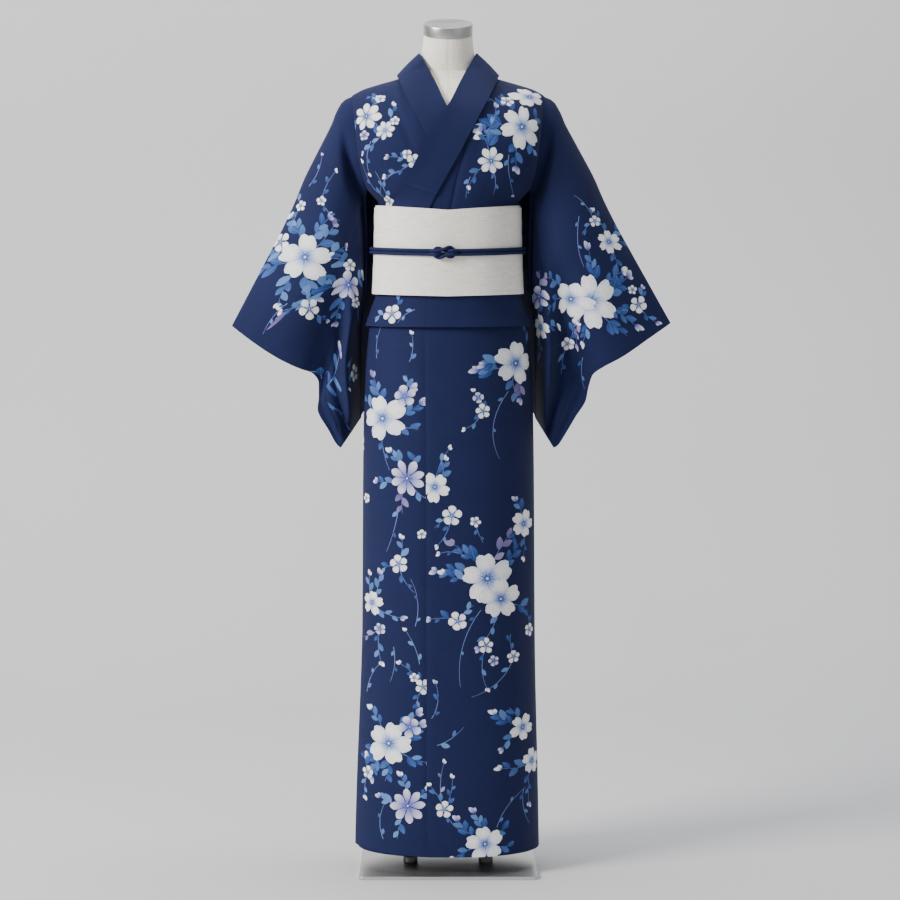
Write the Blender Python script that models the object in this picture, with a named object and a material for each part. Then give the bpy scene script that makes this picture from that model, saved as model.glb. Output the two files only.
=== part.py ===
"""A yukata worn by a limbless dress form, with its obi and tied cord.

Units are metres, +Z is up and the front of the garment faces -Y.
The origin is on the floor below the middle of the form.
The left side of the garment, as its wearer names it, is at +X.
"""

import math
from collections import namedtuple

import bmesh
import bpy
import numpy as np
from mathutils import Matrix, Vector

# Cloth thicknesses and the gaps between pieces
CLOTH = 0.0012
COLLAR_CLOTH = 0.0016
OBI_CLOTH = 0.0020
SEAM_GAP = 0.0003
SEAM_ANGLE = 0.0019
LAYER_STEP = 0.0017
COLLAR_REST = 0.0014
COLLAR_ROOM = 0.0054
OBI_REST = 0.0011
COVER_GAP = 0.0008

# Heights of the worn garment
HEM_Z = 0.041
OHASHORI_Z = 1.0188
TUCK_Z = 1.096
OBI_BOTTOM_Z = 1.0755
OBI_TOP_Z = 1.2315
CHEST_Z = 1.330
FOLD_NEST = 0.003

# Shoulders
SHOULDER_HALF = 0.1735
RIDGE_Y = 0.004

# Stand
PLATE_SIZE = 0.330
PLATE_THICK = 0.006
PLATE_CENTRE_Y = 0.045
PLATE_CORNER = 0.010
POST_SPACING = 0.142
POST_RADIUS = 0.008
FLANGE_RADIUS = 0.0135
FLANGE_HEIGHT = 0.014

# Dress form
FORM_BOTTOM_Z = 0.740
CAP_RADIUS = 0.0455
CAP_HEIGHT = 0.020
CAP_TILT = math.radians(16)
CAP_BASE = Vector((0.0, -0.004, 1.5545))

# Cord round the obi
CORD_RADIUS = 0.0032
CORD_FRONT_Z = 1.1535
CORD_SIDE_RISE = 0.004
KNOT_X = -0.0065

# Body sections: half width, depth to the front and to the back, and half the armhole's opening
Section = namedtuple("Section", "z half front back armhole")

SKIRT = [
    Section(0.041, 0.1690, 0.1130, 0.1120, 0.0),
    Section(0.144, 0.1670, 0.1135, 0.1125, 0.0),
    Section(0.429, 0.1605, 0.1140, 0.1135, 0.0),
    Section(0.786, 0.1575, 0.1155, 0.1150, 0.0),
    Section(0.930, 0.1535, 0.1155, 0.1140, 0.0),
    Section(1.0188, 0.1455, 0.1120, 0.1090, 0.0),
    Section(1.048, 0.1345, 0.1068, 0.1015, 0.0),
    Section(1.075, 0.1242, 0.1025, 0.0965, 0.0),
    Section(1.096, 0.1226, 0.1015, 0.0955, 0.0),
]

BODICE = [
    Section(1.0188, 0.1511, 0.1175, 0.1142, 0.0),
    Section(1.048, 0.1403, 0.1122, 0.1070, 0.0),
    Section(1.075, 0.1298, 0.1080, 0.1020, 0.0),
    Section(1.243, 0.1252, 0.1056, 0.1000, 0.0),
    Section(1.268, 0.1440, 0.1072, 0.1030, 0.026),
    Section(1.297, 0.1545, 0.1080, 0.1050, 0.040),
    Section(1.330, 0.1605, 0.1070, 0.1050, 0.047),
]
BLOUSE_LEVELS = (1.048, 1.075, 1.105, 1.160, 1.205, 1.243, 1.268, 1.297, 1.330)

# Top line of the shoulders, from the neck outwards
RidgePoint = namedtuple("RidgePoint", "x z")
RIDGE = [
    RidgePoint(0.0, 1.4900),
    RidgePoint(0.050, 1.4840),
    RidgePoint(0.090, 1.4695),
    RidgePoint(0.130, 1.4580),
    RidgePoint(0.155, 1.4500),
    RidgePoint(0.1735, 1.4405),
]

# Seam between the front panel and the overlap panel of the left side
SeamPoint = namedtuple("SeamPoint", "z x")
OKUMI_SEAM = [
    SeamPoint(0.041, -0.0387),
    SeamPoint(0.786, -0.0400),
    SeamPoint(1.0206, -0.0430),
    SeamPoint(1.075, -0.0362),
    SeamPoint(1.238, 0.0073),
    SeamPoint(1.269, 0.0128),
    SeamPoint(1.355, 0.0330),
    SeamPoint(1.372, 0.0370),
]

# Outer edge of the left collar band down the chest, and round the back of the neck
COLLAR_EDGE = [
    SeamPoint(1.205, -0.0440),
    SeamPoint(1.240, -0.0279),
    SeamPoint(1.281, -0.0090),
    SeamPoint(1.355, 0.0330),
    SeamPoint(1.395, 0.0552),
    SeamPoint(1.436, 0.0755),
    SeamPoint(1.470, 0.0900),
]
NECK_BACK_EDGE = [
    SeamPoint(1.4400, 0.0),
    SeamPoint(1.4445, 0.0300),
    SeamPoint(1.4520, 0.0600),
    SeamPoint(1.4620, 0.0820),
    SeamPoint(1.4700, 0.0900),
]
COLLAR_LAP = 0.006

# Angles of the shoulder rows, from the chest (0) to the ridge (90)
FRONT_RISE = (15, 30, 45, 60, 75)
BACK_RISE = (78, 66, 57, 48, 42, 30, 15)

OKUMI_TOP = math.radians(15)
FRONT_CELLS = 8
OKUMI_CELLS = 5
SECTION_POWER = 2.4


def column(table, name, z):
    """Value of one named column of a section table at height z."""
    return float(np.interp(z, [row.z for row in table], [getattr(row, name) for row in table]))


def curve_x(points, z):
    return float(np.interp(z, [p.z for p in points], [p.x for p in points]))


def ridge_z(x):
    return float(np.interp(abs(x), [p.x for p in RIDGE], [p.z for p in RIDGE]))


def ease(value, low, high):
    """0 below low, 1 above high and smooth in between."""
    share = min(1.0, max(0.0, (value - low) / (high - low)))
    return share * share * (3 - 2 * share)


def depth_share(angle):
    """Share of a section's depth at an angle from the middle of its front or back."""
    return max(0.0, 1 - abs(math.sin(angle)) ** SECTION_POWER) ** 0.5


def section_point(table, z, angle):
    """Point of a body section. Angle 0 is the middle of the front and 90 degrees is the left side."""
    front = math.cos(angle) >= 0
    depth = column(table, "front" if front else "back", z)
    hole = column(table, "armhole", z)
    reach = hole + (depth - hole) * depth_share(angle)
    return Vector((column(table, "half", z) * math.sin(angle), -reach if front else reach, z))


def shoulder_point(rise, angle):
    """Point of the shoulder cap: rise 0 is the chest section and 90 degrees the ridge."""
    chest = section_point(BODICE, CHEST_Z, angle)
    x = chest.x + (SHOULDER_HALF * math.sin(angle) - chest.x) * math.sin(rise)
    z = CHEST_Z + (ridge_z(x) - CHEST_Z) * math.sin(rise)
    return Vector((x, chest.y * math.cos(rise) + RIDGE_Y * math.sin(rise), z))


def base_point(row, angle):
    """Point of the innermost layer, on a row given as (kind, height or rise)."""
    kind, value = row
    if kind == "shoulder":
        return shoulder_point(value, angle)
    return section_point(SKIRT if kind == "skirt" else BODICE, value, angle)


def base_normal(row, angle):
    """Outward direction of the body at a row and angle."""
    step = 1e-3
    inner = math.copysign(min(abs(angle), math.pi - step), angle)
    side = 1 if abs(inner) > math.pi / 2 else -1
    if abs(abs(inner) - math.pi / 2) < 2 * step and column(BODICE, "armhole", row_height(row, inner)) < 1e-6:
        return Vector((math.copysign(1, inner), 0, 0))
    inner = math.copysign(max(abs(inner), math.pi / 2 + 2 * step), inner) if side > 0 else \
        math.copysign(min(abs(inner), math.pi / 2 - 2 * step), inner)
    across = base_point(row, inner + step) - base_point(row, inner - step)
    if row[0] == "shoulder":
        along = base_point((row[0], row[1] + step), inner) - base_point((row[0], row[1] - step), inner)
    else:
        along = Vector((0, 0, 1))
    normal = across.cross(along).normalized()
    outward = Vector((math.sin(inner), -math.cos(inner), 0.8 if row[0] == "shoulder" else 0))
    return normal if normal.dot(outward) > 0 else -normal


def row_height(row, angle):
    return base_point(row, angle).z


def raised(row, angle, lift):
    return base_point(row, angle) + base_normal(row, angle) * lift


def layer_lift(side, layer, row, angle):
    """How far a layer lies out from the innermost one. The left front is worn over the right front.

    The tuck at the waist nests: left tuck, right tuck, right blouse, left blouse, from the inside out.
    """
    front = 1 - ease(abs(angle), math.radians(92), math.radians(150))
    if layer == "skirt":
        worn = LAYER_STEP * 1.1 if side > 0 else 0.0
        return front * worn + (1 - front) * LAYER_STEP / 2
    if layer == "tuck":
        worn = 0.0 if side > 0 else LAYER_STEP
        return front * worn + (1 - front) * LAYER_STEP / 2
    under = 2 * LAYER_STEP
    if side < 0:
        return under
    over = 3 * LAYER_STEP
    # The left front stands further out where it lies over the right collar band
    height = row[1] if row[0] == "bodice" else CHEST_Z
    bulge = ease(height, 1.03, 1.075) * (1 - ease(abs(angle), math.radians(60), math.radians(88)))
    if row[0] == "shoulder":
        fade = 1 - ease(row[1], math.radians(14), math.radians(62))
        bulge *= fade
        over = under + (over - under) * fade
    lift = over + COLLAR_ROOM * bulge
    return front * lift + (1 - front) * under


def new_material(name, colour, roughness, metallic=0.0):
    material = bpy.data.materials.new(name)
    material.use_nodes = True
    shader = material.node_tree.nodes["Principled BSDF"]
    shader.inputs["Base Color"].default_value = (*colour, 1.0)
    shader.inputs["Roughness"].default_value = roughness
    shader.inputs["Metallic"].default_value = metallic
    return material


def add_object(name, mesh, material, smooth_angle=35):
    body = bpy.data.objects.new(name, mesh)
    bpy.context.scene.collection.objects.link(body)
    mesh.materials.append(material)
    mesh.shade_smooth()
    mesh.set_sharp_from_angle(angle=math.radians(smooth_angle))
    return body


def cloth_sheet(name, grid, thickness, material, closed_rows=False):
    """A wall of cloth from rows of points. closed_rows joins each row's last point to its first."""
    mesh = bpy.data.meshes.new(name)
    rows, across = len(grid), len(grid[0])
    cells = across if closed_rows else across - 1
    faces = [
        (r * across + c, r * across + (c + 1) % across, (r + 1) * across + (c + 1) % across, (r + 1) * across + c)
        for r in range(rows - 1)
        for c in range(cells)
    ]
    mesh.from_pydata([point for row in grid for point in row], [], faces)
    body = add_object(name, mesh, material, 60)
    wall = body.modifiers.new("Cloth thickness", "SOLIDIFY")
    wall.thickness = thickness
    wall.offset = 0.0
    wall.use_even_offset = True
    wall.thickness_clamp = 0.0
    return body


def body_rows(side):
    """Rows of a body panel, up the front, over the shoulder and down the back: (layer, row, is_front)."""
    nest = FOLD_NEST if side > 0 else 0.0
    tuck_top, fold_bottom = TUCK_Z - nest, OHASHORI_Z + FOLD_NEST - nest
    skirt = [("skirt", ("skirt", s.z)) for s in SKIRT[:-1]] + [("skirt", ("skirt", tuck_top))]
    tuck = [("tuck", ("bodice", z)) for z in (tuck_top, 1.075, 1.048, fold_bottom)]
    blouse = [("blouse", ("bodice", z)) for z in (fold_bottom,) + BLOUSE_LEVELS]
    front = [("blouse", ("shoulder", math.radians(a))) for a in FRONT_RISE + (90,)]
    back = [("blouse", ("shoulder", math.radians(a))) for a in BACK_RISE]
    rows = [(*entry, True) for entry in skirt + tuck + blouse + front]
    return rows + [(*entry, False) for entry in back + blouse[::-1] + tuck[::-1] + skirt[::-1]]


def angle_of_x(row, x):
    """Front angle at which a row reaches a given x."""
    half = SHOULDER_HALF if row[0] == "shoulder" else column(SKIRT if row[0] == "skirt" else BODICE, "half", row[1])
    angle = math.asin(max(-1, min(1, x / half)))
    for _ in range(6):
        width = base_point(row, angle).x / max(1e-6, abs(math.sin(angle))) * math.copysign(1, math.sin(angle) or 1)
        if abs(math.sin(angle)) > 1e-3:
            angle = math.asin(max(-1, min(1, x / abs(width))))
    return angle


def front_inner_angle(row):
    """Inner edge of the left front panel: the overlap panel's seam, and above it the collar."""
    if row[0] != "shoulder":
        return angle_of_x(row, curve_x(OKUMI_SEAM, row[1]))
    angle = 0.3
    for _ in range(12):
        height = base_point(row, angle).z
        under_band = curve_x(COLLAR_EDGE, height) - COLLAR_LAP
        angle = angle_of_x(row, curve_x(OKUMI_SEAM, height) if row[1] < OKUMI_TOP + 0.01 else under_band)
    return angle


def back_inner_angle(row):
    """Inner edge of the back panel: the centre seam, and the neckline near the top."""
    if row[0] != "shoulder":
        return math.pi - SEAM_GAP / 2 / column(SKIRT if row[0] == "skirt" else BODICE, "half", row[1])
    angle = 0.3
    for _ in range(20):
        height = base_point(row, math.pi - angle).z
        target = curve_x(NECK_BACK_EDGE, height) - COLLAR_LAP
        angle = 0.5 * angle + 0.5 * angle_of_x(row, max(target, SEAM_GAP / 2))
    return math.pi - angle


def lattice_angles(row):
    """Angles of the front columns of the left side, from the overlap seam to the side seam.

    Below the obi the right side uses the same angles mirrored, so that the layers stay parallel.
    """
    side_angle = math.pi / 2 - SEAM_GAP / 2 / SHOULDER_HALF
    inner = front_inner_angle(row)
    if row[0] == "shoulder" or row[1] > 1.1 or inner > -0.05:
        return [inner + (side_angle - inner) * k / FRONT_CELLS for k in range(FRONT_CELLS + 1)]
    outer_cells = FRONT_CELLS - 2
    outer = [-inner + (side_angle + inner) * k / outer_cells for k in range(1, outer_cells + 1)]
    return [inner, 0.0, -inner] + outer


def make_body_panel(side, material):
    """Front and back of one side in one piece over the shoulder, with the tuck at the waist."""
    grid = []
    for layer, row, is_front in body_rows(side):
        if is_front:
            angles = lattice_angles(row)
            angles[0] += SEAM_ANGLE / 2
        else:
            inner, outer = back_inner_angle(row), math.pi / 2 + SEAM_GAP / 2 / SHOULDER_HALF
            angles = [inner + (outer - inner) * k / FRONT_CELLS for k in range(FRONT_CELLS + 1)]
        if row[0] == "shoulder" and row[1] > math.radians(89):
            row = ("shoulder", math.radians(89.5))
        grid.append([raised(row, side * a, layer_lift(side, layer, row, side * a)) for a in angles])
    name = "body_left" if side > 0 else "body_right"
    return cloth_sheet(name, grid, CLOTH, material)


def make_okumi(side, material):
    """Overlap panel sewn to the front edge, a long strip that narrows to a point at the collar."""
    grid = []
    for layer, row, is_front in body_rows(side):
        if not is_front or row[0] == "shoulder" and row[1] > OKUMI_TOP + 0.01:
            break
        columns = lattice_angles(row)
        seam = -columns[0] + SEAM_ANGLE / 2
        if row[0] == "shoulder":
            angles = [seam + math.radians(2.4) * k / OKUMI_CELLS for k in range(OKUMI_CELLS + 1)]
        elif row[1] <= 1.1 and layer != "blouse" or row[1] < 1.08:
            angles = [seam] + columns[3:3 + OKUMI_CELLS]
        else:
            edge_x = curve_x(COLLAR_EDGE, row[1]) - COLLAR_LAP if row[1] > 1.24 else \
                np.interp(row[1], (1.105, 1.24), (-0.118, -0.034))
            edge = -angle_of_x(row, float(edge_x))
            angles = [seam + (edge - seam) * k / OKUMI_CELLS for k in range(OKUMI_CELLS + 1)]
        points = []
        for number, angle in enumerate(angles):
            signed = -side * angle
            lift = layer_lift(side, layer, row, signed)
            point = raised(row, signed, lift)
            if layer == "skirt":
                share = number / OKUMI_CELLS
                flare = share ** 2 * (1 - ease(row[1], HEM_Z, 0.6))
                rise = 0.008 * share * (1 - ease(row[1], HEM_Z, 0.14))
                if side > 0:
                    point += Vector((-0.007 * flare, 0, rise))
                else:
                    point.z += 0.006 * (1 - ease(row[1], HEM_Z, 0.14))
            points.append(point)
        grid.append(points)
    name = "okumi_left" if side > 0 else "okumi_right"
    return cloth_sheet(name, grid, CLOTH, material)


# Collar band of the left side: its inner and outer edges as seen from the front.
# A row with a depth stands free round the neck, and the others lie on the body.
BandRow = namedtuple("BandRow", "inner_x inner_y inner_z outer_x outer_z on_body")
BAND = [
    BandRow(0.0000, 0.0720, 1.5000, 0.0000, 1.4340, -1.0),
    BandRow(0.0240, 0.0640, 1.5040, 0.0310, 1.4400, -1.0),
    BandRow(0.0410, 0.0430, 1.5110, 0.0640, 1.4535, -1.0),
    BandRow(0.0495, 0.0200, 1.5165, 0.0850, 1.4645, -1.0),
    BandRow(0.0508, 0.0095, 1.5180, 0.0890, 1.4682, -1.0),
    BandRow(0.0512, -0.0010, 1.5185, 0.0905, 1.4695, 0.0),
    BandRow(0.0495, -0.0125, 1.5150, 0.0892, 1.4668, 0.0),
    BandRow(0.0460, -0.0240, 1.5080, 0.0860, 1.4600, 0.0),
    BandRow(0.0410, -0.0355, 1.4995, 0.0812, 1.4490, 0.1),
    BandRow(0.0350, -0.0470, 1.4880, 0.0755, 1.4360, 0.2),
    BandRow(0.0275, -0.0572, 1.4740, 0.0700, 1.4248, 0.4),
    BandRow(0.0190, -0.0670, 1.4580, 0.0640, 1.4130, 0.6),
    BandRow(0.0000, -0.0900, 1.4195, 0.0505, 1.3880, 1.0),
    BandRow(-0.0125, -0.0950, 1.3978, 0.0386, 1.3660, 1.0),
    BandRow(-0.0250, -0.1000, 1.3760, 0.0268, 1.3440, 1.0),
    BandRow(-0.0490, -0.1000, 1.3340, 0.0040, 1.3030, 1.0),
    BandRow(-0.0650, -0.1000, 1.3010, -0.0130, 1.2720, 1.0),
    BandRow(-0.0780, -0.1000, 1.2745, -0.0210, 1.2570, 1.0),
    BandRow(-0.0865, -0.1000, 1.2545, -0.0325, 1.2310, 1.0),
    BandRow(-0.0913, -0.1000, 1.2432, -0.0385, 1.2180, 1.0),
    BandRow(-0.1010, -0.1000, 1.2200, -0.0510, 1.1930, 1.0),
]
BAND_CELLS = 3
COVER_END = 17


def on_body(x, z, is_front, side):
    """Row and angle of the body at a place seen from the front, and the top layer's lift there."""
    if z <= CHEST_Z:
        row = ("bodice", z)
    else:
        rise = math.asin(min(0.99995, (z - CHEST_Z) / (ridge_z(x) - CHEST_Z)))
        row = ("shoulder", rise)
    angle = angle_of_x(row, x)
    if not is_front:
        angle = math.copysign(math.pi - abs(angle), angle)
    return row, angle, layer_lift(side, "blouse", row, angle)


def band_points(side, entry, above):
    """Points across the collar band at one row of the table."""
    points = []
    for number in range(BAND_CELLS + 1):
        share = number / BAND_CELLS
        is_front = entry.on_body >= 0
        outer = band_rest(side, entry.outer_x, entry.outer_z, is_front, above)
        free = Vector((entry.inner_x, entry.inner_y, entry.inner_z))
        free = free.lerp(outer, share)
        bow = math.sin(math.pi * share) * 0.004
        free += Vector((0.5, -0.6 if is_front else 0.6, 0.6)).normalized() * bow
        if above:
            free += band_facing(entry, outer) * above
        if entry.on_body > 0:
            x = entry.inner_x + (entry.outer_x - entry.inner_x) * share
            z = entry.inner_z + (entry.outer_z - entry.inner_z) * share
            free = free.lerp(band_rest(side, x, z, True, above), entry.on_body)
        points.append(Vector((side * free.x, free.y, free.z)))
    return points


def band_facing(entry, outer):
    """Direction in which the collar faces outwards where it stands round the neck."""
    across = outer - Vector((entry.inner_x, entry.inner_y, entry.inner_z))
    away = Vector((outer.x, outer.y, 0)).normalized()
    facing = (away - across * (away.dot(across) / across.dot(across))).normalized()
    return facing


def band_rest(side, x, z, is_front, above):
    """Where the band lies on the cloth below it. The table is for the left side and x is mirrored later."""
    row, angle, lift = on_body(x, z, is_front, side)
    crossing = 1 - ease(z, 1.405, 1.455)
    if side > 0 and is_front:
        lift = max(lift, 2 * LAYER_STEP + (LAYER_STEP + COLLAR_ROOM) * crossing)
    elif side < 0:
        lift = 2 * LAYER_STEP
    rest = CLOTH / 2 + COLLAR_REST + COLLAR_CLOTH / 2
    return raised(row, angle, lift + rest + above)


def band_grid(last_row, above):
    """The whole band, from the right front end round the neck to the left front end."""
    right = [band_points(-1, entry, above) for entry in BAND[1:last_row + 1]][::-1]
    middle = [band_points(1, BAND[0], above)]
    left = [band_points(1, entry, above) for entry in BAND[1:last_row + 1]]
    return right + middle + left


def make_collar(material):
    return cloth_sheet("collar", band_grid(len(BAND) - 1, 0.0), COLLAR_CLOTH, material)


def make_collar_cover(material):
    """Cover band over the upper stretch of the collar."""
    above = COLLAR_CLOTH / 2 + COVER_GAP + CLOTH / 2
    return cloth_sheet("collar_cover", band_grid(COVER_END, above), CLOTH, material)


# Sleeve outlines: one row for each point down the armhole side and down the cuff side.
# gap is half the distance between the front and back layers.
EdgeRow = namedtuple("EdgeRow", "drop x y z gap")
INNER_EDGE = [
    EdgeRow(0.40, 0.1530, 0.003, 1.2640, 0.0300),
    EdgeRow(0.46, 0.1515, 0.004, 1.2320, 0.0270),
    EdgeRow(0.54, 0.1500, 0.008, 1.1720, 0.0250),
    EdgeRow(0.64, 0.1510, 0.016, 1.1000, 0.0240),
    EdgeRow(0.70, 0.1565, 0.026, 1.0500, 0.0240),
    EdgeRow(0.76, 0.1612, 0.034, 1.0100, 0.0240),
    EdgeRow(0.84, 0.1635, 0.046, 0.9450, 0.0220),
    EdgeRow(0.92, 0.1640, 0.060, 0.8850, 0.0160),
    EdgeRow(0.97, 0.1645, 0.066, 0.8520, 0.0090),
    EdgeRow(1.00, 0.1650, 0.068, 0.8420, 0.0020),
]
SEWN_DROP = 0.40
CUFF_EDGES = {
    1: [
        EdgeRow(0.00, 0.4130, -0.004, 1.0225, 0.002),
        EdgeRow(0.03, 0.4050, -0.004, 1.0170, 0.007),
        EdgeRow(0.13, 0.3720, -0.006, 0.9960, 0.020),
        EdgeRow(0.26, 0.3260, -0.010, 0.9655, 0.026),
        EdgeRow(0.38, 0.2880, -0.014, 0.9440, 0.018),
        EdgeRow(0.46, 0.2680, -0.014, 0.9270, 0.006),
        EdgeRow(0.54, 0.2610, -0.012, 0.9040, 0.0012),
        EdgeRow(0.64, 0.2560, -0.014, 0.8800, 0.0012),
        EdgeRow(0.76, 0.2370, -0.022, 0.8500, 0.0012),
        EdgeRow(0.90, 0.2140, -0.032, 0.8130, 0.0012),
        EdgeRow(0.97, 0.2020, -0.036, 0.7960, 0.0012),
        EdgeRow(1.00, 0.1960, -0.036, 0.7930, 0.0015),
    ],
    -1: [
        EdgeRow(0.00, 0.4010, -0.004, 1.0175, 0.002),
        EdgeRow(0.03, 0.3940, -0.004, 1.0120, 0.007),
        EdgeRow(0.13, 0.3610, -0.006, 0.9890, 0.020),
        EdgeRow(0.26, 0.3150, -0.010, 0.9610, 0.026),
        EdgeRow(0.38, 0.2740, -0.014, 0.9410, 0.018),
        EdgeRow(0.46, 0.2530, -0.014, 0.9320, 0.006),
        EdgeRow(0.54, 0.2400, -0.010, 0.9120, 0.0012),
        EdgeRow(0.64, 0.2400, -0.012, 0.8880, 0.0012),
        EdgeRow(0.76, 0.2420, -0.020, 0.8640, 0.0012),
        EdgeRow(0.90, 0.2190, -0.032, 0.8220, 0.0012),
        EdgeRow(0.97, 0.2060, -0.036, 0.7990, 0.0012),
        EdgeRow(1.00, 0.1990, -0.036, 0.7930, 0.0015),
    ],
}
SLEEVE_STATIONS = (0.0, 0.03, 0.07, 0.13, 0.22, 0.34, 0.47, 0.60, 0.73, 0.86, 1.0)
ROUND_ALONG = (0.0, 0.03, 0.07, 0.13, 0.34, 0.47, 0.58)
ROUND_OUT = (0.0, 0.0120, 0.0125, 0.0095, 0.0080, 0.0025, 0.0)
SLEEVE_LEVELS = (0.0, 0.03, 0.09, 0.17, 0.24, 0.32, 0.40, 0.46, 0.54, 0.63, 0.70, 0.76, 0.84, 0.92, 0.97, 1.0)


def edge_row(edge, drop):
    values = [np.interp(drop, [row.drop for row in edge], [row[k] for row in edge]) for k in range(5)]
    return EdgeRow(*(float(v) for v in values))


def armhole_point(side, share, layer):
    """Where the sleeve meets the body. share runs from the shoulder (0) to the bottom of the armhole (1)."""
    if share < 0.6:
        row = ("shoulder", math.radians(84) * (1 - share / 0.6))
    else:
        row = ("bodice", float(np.interp(share, (0.6, 1.0), (CHEST_Z, 1.268))))
    angle = side * (math.pi / 2 + layer * SEAM_GAP / 2 / SHOULDER_HALF)
    return raised(row, angle, layer_lift(side, "blouse", row, angle)) + Vector((side * 0.0012, 0, 0))


def sleeve_point(side, along, drop, layer):
    """Point of a sleeve. along runs from the armhole (0) to the cuff (1), drop from the top fold to the bottom seam.

    layer is -1 on the front and 1 on the back.
    """
    inner, cuff = edge_row(INNER_EDGE, drop), edge_row(CUFF_EDGES[side], drop)
    if drop <= SEWN_DROP:
        seam = armhole_point(side, drop / SEWN_DROP, layer)
        inner = EdgeRow(drop, side * seam.x, 0.0, seam.z, layer * seam.y)
    x = inner.x + (cuff.x - inner.x) * along
    z = inner.z + (cuff.z - inner.z) * along
    # The top fold rounds over the shoulder before it runs straight to the cuff
    shoulder_round = float(np.interp(along, ROUND_ALONG, ROUND_OUT)) * (1 - ease(drop, 0.0, 0.45))
    x += shoulder_round
    z += shoulder_round * 0.2
    # The inner half hangs back beside the body and the cuff half comes forward
    share = ease(along, 0.0, 0.85)
    y = inner.y + (cuff.y - inner.y) * share
    gap = inner.gap + (cuff.gap - inner.gap) * along
    belly = 0.022 * math.sin(math.pi * along) * math.sin(math.pi * min(1, drop / 0.62)) ** 0.8
    lower = ease(drop, 0.40, 0.80) * (1 - ease(drop, 0.93, 1.0))
    fold = math.sin(math.pi * min(1, along / 0.62)) ** 2 * (1 - ease(along, 0.62, 0.75))
    y -= 0.030 * fold * lower
    gap += belly * (1 - 0.5 * lower) + 0.006 * fold * lower
    if layer < 0:
        y -= 0.010 * math.sin(2 * math.pi * along) * ease(drop, 0.2, 0.5) * (1 - ease(drop, 0.9, 1.0))
    drop_back = 0.006 * along * math.sin(math.pi * min(1, drop / 0.5)) if layer > 0 else 0.0
    return Vector((side * x, y + layer * gap, z - drop_back))


def make_sleeve(side, material):
    """A flat tube of one folded cloth, open at the cuff and along its inner edge."""
    grid = []
    for along in SLEEVE_STATIONS:
        front = [sleeve_point(side, along, drop, -1) for drop in SLEEVE_LEVELS]
        back = [sleeve_point(side, along, drop, 1) for drop in SLEEVE_LEVELS[::-1]]
        grid.append(front + back)
    name = "sleeve_left" if side > 0 else "sleeve_right"
    return cloth_sheet(name, grid, CLOTH, material, closed_rows=True)


OBI_LEVELS = 4
OBI_START = math.radians(-150)
OBI_END = math.radians(360 + 168)
OBI_STEP = math.radians(10)
OBI_WRAP = OBI_CLOTH + 0.0005


def obi_lift(total):
    """Lift of the obi along its spiral. The second wrap lies on the first one."""
    angle = (total + math.pi) % (2 * math.pi) - math.pi
    row = ("bodice", 1.16)
    cloth_top = max(layer_lift(side, "blouse", row, angle) for side in (1, -1))
    collar_room = ease(angle, math.radians(-88), math.radians(-64)) * (1 - ease(angle, math.radians(-8), math.radians(18)))
    first = cloth_top + CLOTH / 2 + OBI_REST + OBI_CLOTH / 2 + collar_room * (COLLAR_CLOTH + COLLAR_REST)
    return first + OBI_WRAP * ease(total, math.radians(150), math.radians(200))


def obi_point(total, share, extra=0.0):
    """Point of the obi at a turning angle and a share of its height."""
    angle = (total + math.pi) % (2 * math.pi) - math.pi
    outer_wrap = ease(total, math.radians(150), math.radians(200))
    dip = (1 - abs(math.sin(angle))) * (1 if math.cos(angle) > 0 else 0)
    top = OBI_TOP_Z + 0.0085 - 0.0095 * dip - 0.004 * outer_wrap * (1 - dip)
    bottom = OBI_BOTTOM_Z + 0.003 * (1 - dip) - 0.001 * outer_wrap
    z = bottom + (top - bottom) * share
    return raised(("bodice", z), angle, obi_lift(total) + extra)


def make_obi(material):
    turns = int(round((OBI_END - OBI_START) / OBI_STEP))
    grid = []
    for k in range(turns + 1):
        total = OBI_START + (OBI_END - OBI_START) * k / turns
        grid.append([obi_point(total, level / OBI_LEVELS) for level in range(OBI_LEVELS + 1)])
    return cloth_sheet("obi", grid, OBI_CLOTH, material)


def tube(name, points, radius, material, closed=False, resolution=2):
    curve = bpy.data.curves.new(name, "CURVE")
    curve.dimensions = "3D"
    curve.bevel_depth = radius
    curve.bevel_resolution = resolution
    curve.use_fill_caps = True
    spline = curve.splines.new("POLY")
    spline.points.add(len(points) - 1)
    for target, point in zip(spline.points, points):
        target.co = (*point, 1.0)
    spline.use_cyclic_u = closed
    body = bpy.data.objects.new(name, curve)
    bpy.context.scene.collection.objects.link(body)
    curve.materials.append(material)
    return body


def outer_wrap_total(angle):
    """Turning angle of the outermost wrap of the obi at an angle round the body."""
    total = angle if angle > OBI_START else angle + 2 * math.pi
    return total + 2 * math.pi if total < OBI_END - 2 * math.pi else total


def cord_point(angle, rise, out):
    """Point on the obi's face at an angle round the body, rise above the cord's middle line and out from the obi."""
    angle = (angle + math.pi) % (2 * math.pi) - math.pi
    z = CORD_FRONT_Z + CORD_SIDE_RISE * math.sin(angle) ** 2 + rise
    nearby = [angle + math.radians(step) for step in (-10, -5, 0, 5, 10)]
    lift = max(obi_lift(outer_wrap_total((a + math.pi) % (2 * math.pi) - math.pi)) for a in nearby)
    return raised(("bodice", z), angle, lift + OBI_CLOTH / 2 + 0.0005 + CORD_RADIUS + out)


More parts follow.
